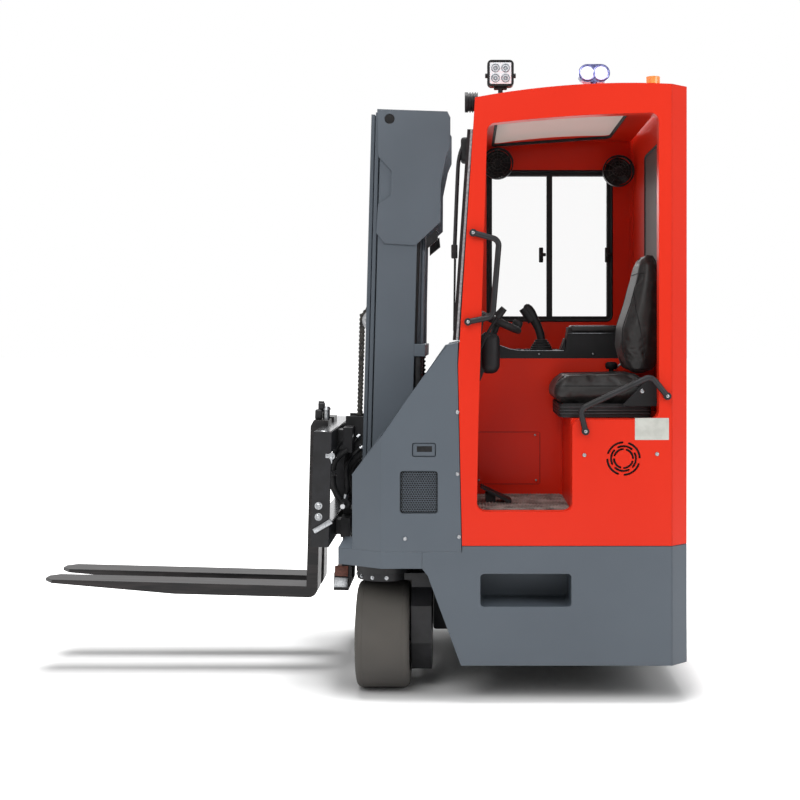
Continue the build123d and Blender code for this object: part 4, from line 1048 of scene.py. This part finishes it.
class TRUCK_OT_seat(Operator):
    """Makes the padded seat covers with their piping, the recliner, the knob and pale beads that paint
    highlights on the bellows' folds
    """

    bl_idname = "truck.seat"
    bl_label = "Seat"

    def execute(self, context):
        props = looks()
        down, inward, rearward = (0, 0, -1), (0, -1, 0), (-1, 0, 0)
        piping = bmesh.new()
        low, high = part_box("seat_cushion")
        middle = (low.y + high.y) / 2
        padding = swell_cloth(cushion_form(low, high), "cushion", props.swell, props.frames)
        form = BVHTree.FromBMesh(padding)
        for y in (middle - 0.12, middle + 0.12):
            row = [(low.x + 0.04, y, 2), (high.x - 0.04, y, 2)]
            seam(piping, form, smooth_row(row, 24), down)
        z = (low.z + high.z) / 2 + 0.012
        seam(piping, form, smooth_row([(low.x + 0.03, 1, z), (high.x - 0.03, 1, z)], 24), inward)
        mesh = mesh_of("seat_cushion_cover", padding, 80)
        cushion = to_piece("seat_cushion_cover", mesh, "vinyl")
        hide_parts("seat_cushion")
        low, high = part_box("seat_back")
        middle = (low.y + high.y) / 2
        padding = swell_cloth(back_form(low, high), "back", props.swell * 0.7, props.frames)
        form = BVHTree.FromBMesh(padding)
        side = [(-1.118, 1, 1.655), (-1.095, 1, 1.6), (-1.086, 1, 1.54), (-1.09, 1, 1.46)]
        side += [(-1.105, 1, 1.38), (-1.12, 1, 1.31), (-1.126, 1, 1.27)]
        seam(piping, form, smooth_row(side, 5), inward)
        for y in (middle - 0.11, middle + 0.11):
            seam(piping, form, smooth_row([(-0.5, y, 1.27), (-0.5, y, 1.6)], 24), rearward)
        across = [(-0.5, middle - 0.15, 1.6), (-0.5, middle + 0.15, 1.6)]
        seam(piping, form, smooth_row(across, 20), rearward)
        mesh = mesh_of("seat_piping", piping, 40)
        to_piece("seat_piping", mesh, "rubber", slot="seat_cloth")
        with new_piece("recliner_cover", "abs") as work:
            outline = [(-1.03, 1.10), (-1.07, 1.098), (-1.165, 1.098), (-1.165, 1.2)]
            put_prism(work, [*outline, (-1.13, 1.204)], 0.533, 0.546)
        with new_piece("seat_knob", "abs") as work:
            knob = [(0, 0), (0.02, 0), (0.025, 0.008), (0.025, 0.02), (0.018, 0.028), (0, 0.03)]
            put_lathe(work, knob, Matrix.Translation((-1.035, 0.165, 1.226)))
            put_rod(work, (-1.035, 0.165, 1.18), (-1.035, 0.165, 1.228), 0.010, 16)
        # Painted highlights: pale grey beads round the bellows at three heights stand in for light
        # caught on its folds
        with new_piece("bellows_welts", "battery") as work:
            low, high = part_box("seat_bellows")
            path = rounded_path(low.x, high.x, low.y, high.y, 0.02, 4)
            for share in (0.28, 0.52, 0.76):
                z = low.z + share * (high.z - low.z)
                bead(work, [(x, y, z) for x, y in path], 0.0016, 6, True)
        repeated("recliner_screw", dome_bolt(0.009), side_spots([(-1.105, 1.154)], 0.5462), "zinc")
        lever = ((-1.05, 0.16, 1.225), (-1.086, 0.17, 1.262), (-1.123, 0.175, 1.274))
        swept("recliner_lever", lever, 0.0045, "zinc")
        mesh = mesh_of("seat_back_cover", padding, 80)
        back = to_piece("seat_back_cover", mesh, "vinyl")
        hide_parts("seat_back")
        return {"FINISHED"}


class TRUCK_OT_housing_trim(Operator):
    """Sets the vent meshes, latches and rounded edges onto the front housings"""

    bl_idname = "truck.housing_trim"
    bl_label = "Housing Trim"

    def execute(self, context):
        cell = bmesh.new()
        ring = [(0.0037, 0), (0.0053, 0), (0.0053, 0.002), (0.0037, 0.002), (0.0037, 0)]
        put_lathe(cell, ring, Matrix.Identity(4), 6)
        shape = mesh_of("vent_cell", cell)
        across, rise = 0.0092, 0.008
        for side, name in SIDES:
            floor_y, face = side * (HALF - 0.0115), side * (HALF - 0.004)
            with new_piece(f"vent_back_{name}", "rubber") as work:
                put_block(work, (-0.338, floor_y, 0.705), (-0.202, floor_y + side * 0.002, 0.859))
            spots = []
            for row in range(19):
                for column in range(14):
                    x = -0.3335 + (column + (row % 2) / 2) * across
                    z = 0.7105 + row * rise
                    spots.append(((x, floor_y + side * 0.0025, z), (0, side, 0), UP))
            repeated(f"vent_mesh_{name}", shape, spots, "grey")
            with new_piece(f"latch_cup_{name}", "grey") as work:
                put_block(work, (-0.332, floor_y, 0.914), (-0.246, face, 0.964), 0.004)
            with new_piece(f"latch_slot_{name}", "rubber") as work:
                low, high = (-0.319, face - side * 0.002, 0.931), (-0.262, face + side * 0.0006, 0.953)
                put_block(work, low, high, 0.001)
            with new_piece(f"housing_edge_{name}", "grey") as work:
                y = HALF - 0.0015
                edge = [(-0.018, 0.531, 0.837), (-0.129, y, 0.991)]
                edge += [(-0.371, y, 1.326), (-0.414, y, 1.3345)]
                bead(work, [(x, side * y, z) for x, y, z in edge], 0.0035, 8)
        return {"FINISHED"}


class TRUCK_OT_wheel_trim(Operator):
    """Adds tyre ridges, nuts, hub caps and flange bolts to the wheels, and between them a black block,
    drawn as a tank, that paints the shade under the truck
    """

    bl_idname = "truck.wheel_trim"
    bl_label = "Wheel Trim"

    def execute(self, context):
        nut = hex_bolt(0.011, 0.012)
        small = hex_bolt(0.0048, 0.005)
        along = Matrix.Rotation(math.pi / 2, 4, "Y")
        disc = [(0, 0), (0.052, 0), (0.05, 0.009), (0.036, 0.014), (0, 0.016)]
        ridges = ((0.0755, TYRE_RADIUS - 0.0008, 0.0018, 96), (TYRE_HALF, 0.166, 0.0016, 72))
        nut_circle, flange_circle, flange_height = 0.093, 0.1062, 0.437
        for name, (low, high) in TYRES.items():
            x, y, _ = (low + high) / 2
            with new_piece(f"tyre_ridges_{name}", "tyre", f"wheel_{name}") as work:
                for reach, radius, tube, sides in ridges:
                    for offset in (-reach, reach):
                        place = Matrix.Translation((x + offset, y, TYRE_RADIUS)) @ along
                        put_ring(work, place, radius, tube, sides, 6)
            spots = []
            for i in range(8):
                turn = math.pi / 4 * i
                across, rise = nut_circle * math.cos(turn), nut_circle * math.sin(turn)
                spots.append(((x + 0.0172, y + across, TYRE_RADIUS + rise), AHEAD, UP))
            repeated(f"wheel_nuts_{name}", nut, spots, "zinc", f"wheel_{name}")
            with new_piece(f"hub_cap_{name}", "black", f"wheel_{name}", slot="rim_paint") as work:
                put_lathe(work, disc, facing((x + 0.0645, y, TYRE_RADIUS), AHEAD))
            spots = []
            for i in range(12):
                turn = math.pi / 6 * i + 0.13
                out = (math.cos(turn), math.sin(turn), 0)
                if abs(out[0] + 1) > 0.5:
                    across = (x + flange_circle * out[0], y + flange_circle * out[1])
                    spots.append(((*across, flange_height), out, UP))
            repeated(f"flange_bolts_{name}", small, spots, "zinc", f"steer_{name}")
        # Painted shade: a black block with a neck, drawn as a tank, fills the gap under the truck
        # between the wheels so that it reads dark
        with new_piece("belly_tank", "black") as work:
            put_block(work, (-0.46, -0.09, 0.15), (-0.31, 0.09, 0.36), 0.01)
            put_rod(work, (-0.385, 0, 0.35), (-0.385, 0, 0.40), 0.03)
        return {"FINISHED"}


# Middle lines of the hoses at the carriage and of those that follow its side-shift cylinder
CARRIAGE_HOSES = (
    "-0.01 0.104 0.95, 0.012 0.118 0.93, 0.05 0.150 0.86, 0.036 0.165 0.76, 0.04 0.15 0.705",
    "-0.02 0.104 0.90, 0.004 0.122 0.89, 0.046 0.19 0.83, 0.028 0.21 0.75, 0.04 0.215 0.705",
    "-0.03 0.104 0.86, 0.0 0.115 0.85, 0.03 0.13 0.79, 0.01 0.12 0.70, 0.02 0.106 0.65",
    "0.0 -0.104 0.94, 0.02 -0.13 0.92, 0.05 -0.16 0.85, 0.03 -0.15 0.74, 0.03 -0.12 0.66",
)
SHIFT_HOSES = (
    "0.03 0.19 0.95, 0.08 0.19 0.93, 0.097 0.2 0.82, 0.09 0.2 0.72, 0.045 0.19 0.66",
    "0.03 0.16 0.93, 0.09 0.165 0.9, 0.105 0.17 0.8, 0.098 0.17 0.73, 0.05 0.16 0.67",
    "0.03 0.22 0.9, 0.08 0.22 0.87, 0.088 0.225 0.8, 0.082 0.22 0.74, 0.045 0.22 0.69",
)


class TRUCK_OT_carriage_trim(Operator):
    """Adds the bolts, latches, fork lock, side-shift cylinder, hoses and wear pads of the carriage"""

    bl_idname = "truck.carriage_trim"
    bl_label = "Carriage Trim"

    def execute(self, context):
        lean = lean_matrix()
        spots = []
        for side in (1, -1):
            for z in (0.7084, 0.6662):
                spots.append(((0.1214, side * 0.435, z), (0, side, 0), AHEAD))
        slope = Matrix.Rotation(math.radians(30), 4, "Y")
        repeated("end_bolts", hex_bolt(0.0095, 0.007), spots, "zinc", "side_shift")
        with new_piece("end_latches", "zinc", "side_shift") as work:
            for side in (1, -1):
                place = Matrix.Translation((0.105, side * 0.4395, 0.631)) @ slope
                put_block(work, (-0.040, -0.004, -0.010), (0.040, 0.004, 0.010), 0.003, 2, place)
                put_rod(work, (0.07, side * 0.434, 0.9), (0.07, side * 0.446, 0.9), 0.013, 20)
                put_rod(work, (0.07, side * 0.44, 0.9), (0.07, side * 0.44, 0.872), 0.009, 12, 0.002)
                put_block(work, (0.06, side * 0.422, 0.892), (0.095, side * 0.438, 0.908), 0.003)
        with new_piece("slide_strips", "steel", "side_shift") as work:
            for z in (0.9853, 0.6213):
                put_block(work, (0.086, -0.42, z), (0.149, 0.42, z + 0.002), 0.0008, 1, lean)
        with new_piece("fork_lock_block", "black", "side_shift") as work:
            put_block(work, (0.156, 0.09, 1.0092), (0.186, 0.13, 1.05), 0.006, 3, lean)
            put_rod(work, (0.150, 0.11, 1.05), (0.148, 0.11, 1.092), 0.012, 16)
            put_block(work, (0.134, 0.095, 1.06), (0.160, 0.125, 1.086), 0.005, 3)
        with new_piece("fork_lock_pin", "zinc", "side_shift") as work:
            put_rod(work, (0.128, 0.11, 1.0), (0.127, 0.11, 1.058), 0.014, 20)
            put_rod(work, (0.127, 0.11, 1.058), (0.127, 0.11, 1.07), 0.019, 20, 0.012)
        x, z = 0.040, 0.69
        with new_piece("shift_barrel", "black", "carriage") as work:
            put_rod(work, (x, 0.0975, z), (x, 0.235, z), 0.0165, 24)
            put_rod(work, (x, 0.232, z), (x, 0.246, z), 0.019, 24)
        with new_piece("shift_rod", "steel", "carriage") as work:
            put_rod(work, (x, 0.24, z), (x, 0.325, z), 0.0095, 20)
        hoses = [point_row(text) for text in CARRIAGE_HOSES]
        loops = [point_row(text) for text in SHIFT_HOSES]
        for i, points in enumerate(hoses):
            swept(f"carriage_hose_{i}", points, 0.0075, "rubber", "carriage")
        for i, points in enumerate(loops):
            swept(f"shift_hose_{i}", points, 0.009, "rubber", "carriage")
        with new_piece("hose_clamps", "black", "carriage") as work:
            for _, _, (x, y, z), _, _ in loops:
                put_block(work, (x - 0.013, y - 0.014, z), (x + 0.013, y + 0.014, z + 0.02), 0.003)
        with new_piece("hose_ferrules", "zinc", "carriage") as work:
            for points in hoses:
                start, bend = Vector(points[0]), Vector(points[1])
                put_rod(work, start, start + (bend - start) * 0.5, 0.0105, 6)
                end, last = Vector(points[-1]), Vector(points[-2])
                put_rod(work, end, end + (last - end).normalized() * 0.018, 0.0105, 6)
        with new_piece("foot_wear_pad", "brown_pad", "carriage") as work:
            put_block(work, (0.035, -0.1, 0.3795), (0.091, 0.1, 0.392), 0.003, 2, lean)
            for side in (1, -1):
                low, high = (0.035, side * 0.099, 0.366), (0.091, side * 0.106, 0.409)
                put_block(work, low, high, 0.003, 2, lean)
        with new_piece("foot_plates", "zinc", "carriage") as work:
            for side in (1, -1):
                low, high = (0.034, side * 0.099, 0.32), (0.092, side * 0.107, 0.362)
                put_block(work, low, high, 0.004, 2, lean)
        return {"FINISHED"}


class TRUCK_OT_mast_trim(Operator):
    """Adds the pipes, hoses, plugs and black blocks of the mast and the links of its chains"""

    bl_idname = "truck.mast_trim"
    bl_label = "Mast Trim"

    def execute(self, context):
        lean = lean_matrix()
        plug = [(0, 0), (0.0196, 0), (0.0196, 0.002), (0.012, 0.0032), (0, 0.0026)]
        wedge = [(-0.287, 1.751), (-0.329, 1.789), (-0.333, 1.748), (-0.287, 1.710)]
        with new_piece("mast_black_trim", "rubber", "mast") as work:
            for side in (1, -1):
                place = facing(lean @ Vector((-0.0953, side * 0.2425, 2.2261)), (0, side, 0))
                put_lathe(work, plug, place)
                low, high = sorted((side * 0.198, side * 0.236))
                put_prism(work, wedge, low, high)
                put_block(work, (-0.264, side * 0.15, 1.105), (-0.242, side * 0.236, 1.279), 0.004)
                for i in range(9):
                    z = 1.118 + 0.018 * i
                    low, high = (-0.269, side * 0.155, z), (-0.262, side * 0.231, z + 0.009)
                    put_block(work, low, high, 0.002, 1)
        for side, name in SIDES:
            y = side * 0.19
            pipe = ((-0.266, y, 1.3), (-0.268, y, 1.5), (-0.274, y, 1.77))
            swept(f"mast_pipe_{name}", pipe, 0.008, "grey", "mast", smooth=False)
            y = side * 0.222
            hose = ((-0.236, y, 1.3), (-0.245, y, 1.5), (-0.254, y, 1.78))
            swept(f"mast_hose_{name}", hose, 0.009, "rubber", "mast", smooth=False)
        link = bmesh.new()
        half, end, waist, thick = 0.0085, 0.0078, 0.0042, 0.0016
        for y in (-0.0065, -0.0022, 0.0022, 0.0065):
            shift = 0.0 if abs(y) > 0.004 else 2 * half
            outline = []
            for centre, start in ((shift + half, -72), (shift - half, 108)):
                for step in range(7):
                    turn = math.radians(start + step * 24)
                    outline.append((centre + end * math.cos(turn), end * math.sin(turn)))
                outline.append((shift, math.copysign(waist, math.sin(turn))))
            put_prism(link, outline, y - thick, y + thick)
        for x in (half, -half):
            put_rod(link, (x, -0.0092, 0), (x, 0.0092, 0), 0.0034, 8)
        shape = mesh_of("chain_link", link)
        step, radius = 4 * half, 0.05
        path = [(0.013, 0.905 + i * step, AHEAD, UP) for i in range(16)]
        for i in range(1, 5):
            turn = math.radians(36 * i)
            aim = (math.cos(turn), 0, math.sin(turn))
            run = (-math.sin(turn), 0, math.cos(turn))
            path.append((-0.037 + radius * aim[0], 1.42 + radius * aim[2], aim, run))
        path += [(-0.087, 1.415 - i * step, (-1, 0, 0), (0, 0, -1)) for i in range(8)]
        turn = lean.to_3x3()
        spots = []
        for side in (1, -1):
            for x, z, aim, run in path:
                spot = lean @ Vector((x, side * 0.057, z))
                spots.append((spot, turn @ Vector(aim), turn @ Vector(run)))
        chain = repeated("leaf_chains", shape, spots, "chain", "lift_head")
        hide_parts("lift_chains")
        return {"FINISHED"}


def glass_edge(z):
    """X of the windscreen's front face at a height."""
    return -0.425 - (z - 1.33) * 0.0692


class TRUCK_OT_windscreen_trim(Operator):
    """Adds the seals, bright trim and wiper of the windscreen"""

    bl_idname = "truck.windscreen_trim"
    bl_label = "Windscreen Trim"

    def execute(self, context):
        low, high = 1.345, 2.135
        strips = (("rubber", 0.0, 0.011), ("zinc", 0.011, 0.019), ("rubber", 0.019, 0.031))
        for number, (material, near, far) in enumerate(strips):
            corners = ((near, low), (near, high), (far, high), (far, low))
            outline = [(glass_edge(z) + out, z) for out, z in corners]
            with new_piece(f"windscreen_strip_{number}", material) as work:
                for side in (1, -1):
                    put_prism(work, outline, *sorted((side * 0.528, side * 0.549)))
        with new_piece("wiper_parts", "rubber") as work:
            put_block(work, (-0.463, 0.43, 2.02), (-0.425, 0.53, 2.11), 0.012, 3)
            put_block(work, (-0.413, 0.505, 1.653), (-0.389, 0.53, 1.705), 0.004)
            outline = [(-0.399, 1.655), (-0.408, 1.65), (-0.402, 1.38), (-0.396, 1.38)]
            put_prism(work, outline, 0.508, 0.526)
        arm = ((-0.44, 0.52, 2.09), (-0.418, 0.52, 2.05), (-0.412, 0.52, 1.95), (-0.402, 0.52, 1.69))
        swept("wiper_arm", arm, 0.0075, "black")
        return {"FINISHED"}


def roof_height(x):
    """Height of the roof's top line over the side panels."""
    points = (Vector((-0.478, 2.245)), Vector((-0.866, 2.293)), Vector((-1.207, 2.295)))
    (ax, az), (bx, bz), (cx, cz) = points
    d = 2 * (ax * (bz - cz) + bx * (cz - az) + cx * (az - bz))
    a2, b2, c2 = (point.length_squared for point in points)
    ux = (a2 * (bz - cz) + b2 * (cz - az) + c2 * (az - bz)) / d
    uz = (a2 * (cx - bx) + b2 * (ax - cx) + c2 * (bx - ax)) / d
    radius = (Vector((ux, uz)) - points[0]).length
    return uz + math.sqrt(radius**2 - (x - ux) ** 2)


class TRUCK_OT_lamp_faces(Operator):
    """Fills the lamp bodies with lenses, frames and rims and adds their mounts"""

    bl_idname = "truck.lamp_faces"
    bl_label = "Lamp Faces"

    def execute(self, context):
        x, wide, z = WORK_LAMP
        cells = [(x + dx, z + dz) for dx in (-0.019, 0.019) for dz in (-0.019, 0.019)]
        lens, rims, frames = bmesh.new(), bmesh.new(), bmesh.new()
        for side in (1, -1):
            y = side * wide
            panes = ((lens, 0.0405, -0.0006, 0.0020), (frames, 0.0445, 0.001, 0.0010))
            for work, half, back, out in panes:
                low, high = sorted((y - side * back, y + side * out))
                corner, far = (x - half, low, z - half), (x + half, high, z + half)
                put_block(work, corner, far, 0.0008, 1)
            for across, rise in cells:
                place = facing((across, y + side * 0.002, rise), (0, side, 0))
                put_ring(rims, place, 0.0145, 0.0024, 28, 6)
                put_ring(rims, place, 0.006, 0.0034, 18, 6)
        dome = [(0, 0), (0.0305, 0), (0.0305, 0.001), (0.018, 0.0028), (0, 0.0032)]
        put_lathe(lens, dome, facing(FRONT_LAMP, AHEAD))
        to_piece("lamp_lenses", mesh_of("lamp_lenses", lens, 40), "white_lamp")
        to_piece("lamp_frames", mesh_of("lamp_frames", frames, 40), "abs", slot="lamp_body")
        to_piece("lamp_rims", mesh_of("lamp_rims", rims, 40), "reflector")
        height = TWIN_HIGH.z - 0.034
        with new_piece("twin_lenses", "blue_lamp") as work:
            dome = [(0, 0), (0.0262, 0), (0.024, 0.003), (0.012, 0.0055), (0, 0.006)]
            for x in (TWIN_MIDDLE - 0.026, TWIN_MIDDLE + 0.026):
                put_lathe(work, dome, facing((x, TWIN_HIGH.y - 0.0025, height), LEFT))
        with new_piece("twin_rims", "violet_chrome") as work:
            for x in (TWIN_MIDDLE - 0.026, TWIN_MIDDLE + 0.026):
                put_ring(work, facing((x, TWIN_HIGH.y, height), LEFT), 0.0285, 0.0028, 36, 8)
        with new_piece("lamp_mounts", "abs", slot="lamp_body") as work:
            middle = WORK_LAMP[0]
            foot = [(0, 0), (0.02, 0), (0.018, 0.006), (0.011, 0.009), (0, 0.009)]
            for y in (0.5, -0.5):
                for x in (middle - 0.054, middle + 0.054):
                    put_rod(work, (x - 0.004, y, z - 0.007), (x + 0.004, y, z - 0.007), 0.009, 16)
                low, high = (middle - 0.025, y - 0.009, z - 0.06), (middle + 0.025, y + 0.009, z - 0.049)
                put_block(work, low, high, 0.003)
                put_lathe(work, foot, facing((middle, y, roof_height(middle) + 0.0005), UP))
            x, y, _ = BEACON
            foot = [(0, 0), (0.034, 0), (0.034, 0.008), (0.029, 0.012), (0, 0.012)]
            put_lathe(work, foot, facing((x, y, roof_height(x) + 0.0005), UP))
        return {"FINISHED"}


class TRUCK_OT_cab_trim(Operator):
    """Adds the seals, latches, hatch seam, rear shade, label, vent backing and floor mat of the cab"""

    bl_idname = "truck.cab_trim"
    bl_label = "Cab Trim"

    def execute(self, context):
        with new_piece("cab_seals", "rubber") as work:
            path = rounded_path(-1.1, -0.567, -0.463, 0.22, 0.045)
            for drop in (0.034, -0.001):
                bead(work, [(x, y, roof_height(x) - drop) for x, y in path], 0.007, 8, True)
            path = rounded_path(-1.124, -0.545, 1.428, 2.125, 0.026)
            for y in (-0.5535, -0.5965):
                bead(work, [(x, y, z) for x, z in path], 0.006, 8, True)
            path = rounded_path(-0.17, 0.43, 1.5, 2.135, 0.026)
            for x in (-1.2235, -1.2705):
                bead(work, [(x, y, z) for y, z in path], 0.006, 8, True)
            for x in (-0.795, -1.102):
                put_block(work, (x - 0.010, -0.562, 1.70), (x + 0.010, -0.550, 1.77), 0.004)
                put_block(work, (x - 0.022, -0.553, 1.728), (x + 0.006, -0.541, 1.744), 0.004)
        with new_piece("hatch_seam", "rubber", slot="red_paint") as work:
            path = rounded_path(-0.748, -0.494, 0.753, 0.966, 0.006, 3)
            bead(work, [(x, 0.1152, z) for x, z in path], 0.0009, 6, True)
        with new_piece("rear_shade", "shade") as work:
            put_block(work, (-1.2262, -0.165, 1.505), (-1.2225, 0.425, 2.13), 0.001, 1)
        with new_piece("blank_label", "label") as work:
            put_block(work, (-1.196, HALF - 0.0001, 0.976), (-1.070, HALF + 0.0007, 1.0575), 0.0003, 1)
        with new_piece("round_vent_back", "rubber") as work:
            ring = [(0.028, 0), (0.067, 0), (0.067, 0.0009), (0.028, 0.0009), (0.028, 0)]
            put_lathe(work, ring, facing((-1.028, 0.588, 0.907), LEFT), 48)
        with new_piece("floor_mat", "mat") as work:
            z = FLOOR_TOP
            put_block(work, (-0.832, 0.122, z + 0.0003), (-0.462, 0.545, z + 0.0035), 0.001, 1)
        rib = bmesh.new()
        put_block(rib, (-0.208, -0.0024, 0), (0.208, 0.0024, 0.003), 0.0012, 1)
        spots = [((-0.822 + i * 0.0125, 0.3335, z + 0.0032), UP, LEFT) for i in range(29)]
        repeated("mat_ribs", mesh_of("mat_rib", rib), spots, "mat")
        return {"FINISHED"}


class TRUCK_OT_console_trim(Operator):
    """Adds the pad, levers, knobs and switches of the console, bright beads that paint highlights along
    its edges, and the steering wheel's grip
    """

    bl_idname = "truck.console_trim"
    bl_label = "Console Trim"

    def execute(self, context):
        with new_piece("arm_pad", "vinyl") as work:
            put_block(work, (-1.112, 0.004, 1.374), (-0.872, 0.121, 1.404), 0.012, 4)
        with new_piece("console_lip", "abs") as work:
            lip = [(-0.55, 1.297), (-0.55, 1.338), (-0.583, 1.322), (-0.625, 1.307), (-0.665, 1.3)]
            put_prism(work, [*lip, (-0.665, 1.297)], 0.07, 0.1145)
        # Painted highlights: bright metallised beads along the console's lip, shelf and arm pad stand in
        # for light caught on these edges
        with new_piece("console_edges", "reflector", slot="black_plastic") as work:
            bead(work, [(x, 0.1145, z) for x, z in lip[1:]] + [(-0.845, 0.1145, 1.3)], 0.0014)
            bead(work, [(-0.855, 0.1215, 1.366), (-0.88, 0.1215, 1.371), (-1.1, 0.1215, 1.371)], 0.0014)
            bead(work, [(-0.885, 0.1185, 1.4005), (-1.1, 0.1185, 1.4005)], 0.0014)
        with new_piece("lever_boot", "rubber") as work:
            folds = ((0.042, 1.304), (0.038, 1.313), (0.033, 1.322), (0.027, 1.331), (0.021, 1.34))
            for radius, z in folds:
                put_ring(work, Matrix.Translation((*LEVER, z)), radius, 0.006, 32, 8)
        with new_piece("lever_grip", "abs", smooth=80) as work:
            grip = [(-0.758, 1.340, 0.0165), (-0.754, 1.365, 0.0175), (-0.743, 1.400, 0.0165)]
            grip += [(-0.728, 1.432, 0.0175), (-0.714, 1.456, 0.0205), (-0.703, 1.472, 0.020)]
            grip += [(-0.694, 1.484, 0.0145), (-0.690, 1.489, 0.006)]
            bead(work, [(x, LEVER[1], z) for x, z, _ in grip], [size for _, _, size in grip], 16)
        with new_piece("lever_collar", "battery") as work:
            collar = Matrix.Translation((*LEVER, 1.334))
            put_lathe(work, [(0, 0), (0.024, 0), (0.0265, 0.005), (0.024, 0.011), (0, 0.012)], collar)
        with new_piece("dash_pod", "abs", smooth=80) as work:
            put_block(work, (-0.576, 0.30, 1.215), (-0.495, 0.43, 1.375), 0.034, 6)
        with new_piece("arm_front", "abs") as work:
            put_prism(work, [(-0.832, 1.2985), (-0.8515, 1.35), (-0.8515, 1.2985)], 0.012, 0.1145)
        with new_piece("console_switches", "abs") as work:
            for i in range(4):
                x = -0.60 - i * 0.032
                put_block(work, (x - 0.011, 0.03, 1.2992), (x + 0.011, 0.062, 1.306), 0.003)
            slope = Matrix.Rotation(math.radians(35), 4, "Y")
            put_ring(work, Matrix.Translation((-0.70, 0.0605, 1.448)) @ slope, 0.0192, 0.0012, 24, 6)
        lever = ((-0.50, 0.42, 1.31), (-0.53, 0.455, 1.385), (-0.57, 0.47, 1.44))
        swept("dash_lever", lever, 0.006, "abs")
        lever = ((-0.492, 0.41, 1.31), (-0.503, 0.45, 1.39), (-0.509, 0.46, 1.43))
        swept("side_lever", lever, 0.005, "abs")
        with new_piece("dash_knobs", "abs") as work:
            put_rod(work, (-0.564, 0.468, 1.434), (-0.59, 0.474, 1.466), 0.0165, 20, 0.013)
            put_rod(work, (-0.500, 0.459, 1.428), (-0.522, 0.461, 1.44), 0.0105, 16, 0.009)
            put_block(work, (-0.487, 0.300, 1.313), (-0.470, 0.370, 1.330), 0.004)
        with new_piece("wheel_grip", "rubber", "steering_wheel", smooth=60) as work:
            tilt = Matrix.Rotation(STEERING_TILT, 4, "Y")
            wheel = Matrix.Translation(STEERING_WHEEL) @ tilt
            put_ring(work, wheel, 0.084, 0.0135, 48, 12)
            hub = [(0, -0.013), (0.027, -0.012), (0.031, 0), (0.029, 0.012), (0.02, 0.017), (0, 0.012)]
            put_lathe(work, hub, wheel)
            side = Matrix.Rotation(math.radians(120), 4, "Z") @ Matrix.Translation((0, 0.084, 0.005))
            knob = [(0, 0), (0.015, 0), (0.0205, 0.008), (0.0205, 0.026), (0.016, 0.034), (0, 0.0345)]
            put_lathe(work, knob, wheel @ side)
        return {"FINISHED"}


class TRUCK_OT_fan_guards(Operator):
    """Adds the wire guards and hoods of the cab fans"""

    bl_idname = "truck.fan_guards"
    bl_label = "Fan Guards"

    def execute(self, context):
        with new_piece("fan_wires", "chain", slot="plain_steel") as work:
            for x, z in FANS:
                for radius, bulge in ((0.018, 0.012), (0.032, 0.011), (0.046, 0.008), (0.060, 0.003)):
                    place = facing((x, FAN_FACE + bulge, z), LEFT)
                    put_ring(work, place, radius, 0.0012, 36, 5)
                for i in range(12):
                    turn = math.pi / 6 * i
                    across, rise = math.cos(turn), math.sin(turn)
                    wire = ((0.012, 0.0125), (0.032, 0.011), (0.05, 0.007), (0.068, 0.0))
                    line = [(x + r * across, FAN_FACE + bulge, z + r * rise) for r, bulge in wire]
                    bead(work, line, 0.0012, 5)
        with new_piece("fan_hoods", "abs") as work:
            for x, z in FANS:
                profile = [(0, 0), (0.062, 0), (0.058, -0.012), (0.036, -0.026), (0, -0.03)]
                put_lathe(work, profile, facing((x, -0.468, z), LEFT))
        return {"FINISHED"}


class TRUCK_PT_looks(Panel):
    """Lists the truck's operators and settings"""

    bl_idname = "TRUCK_PT_looks"
    bl_label = "Fork Truck"
    bl_space_type = "VIEW_3D"
    bl_region_type = "UI"
    bl_category = "Fork Truck"

    def draw(self, context):
        for operator in OPERATORS:
            self.layout.operator(operator.bl_idname)
        for name in TruckLooks.__annotations__:
            self.layout.prop(context.scene.truck_looks, name)


OPERATORS = (
    TRUCK_OT_finishes,
    TRUCK_OT_stage,
    TRUCK_OT_bolts,
    TRUCK_OT_housing_trim,
    TRUCK_OT_wheel_trim,
    TRUCK_OT_carriage_trim,
    TRUCK_OT_mast_trim,
    TRUCK_OT_windscreen_trim,
    TRUCK_OT_lamp_faces,
    TRUCK_OT_cab_trim,
    TRUCK_OT_console_trim,
    TRUCK_OT_fan_guards,
    TRUCK_OT_seat,
)
CLASSES = (TruckLooks, *OPERATORS, TRUCK_PT_looks)


def register():
    """Adds the classes and the scene's settings."""
    for item in CLASSES:
        bpy.utils.register_class(item)
    bpy.types.Scene.truck_looks = PointerProperty(type=TruckLooks)


def unregister():
    """Removes the classes and the scene's settings."""
    del bpy.types.Scene.truck_looks
    for item in reversed(CLASSES):
        bpy.utils.unregister_class(item)


def main():
    """Makes everything in order."""
    register()
    for operator in OPERATORS:
        group, name = operator.bl_idname.split(".")
        getattr(getattr(bpy.ops, group), name)()


if __name__ == "__main__":
    main()
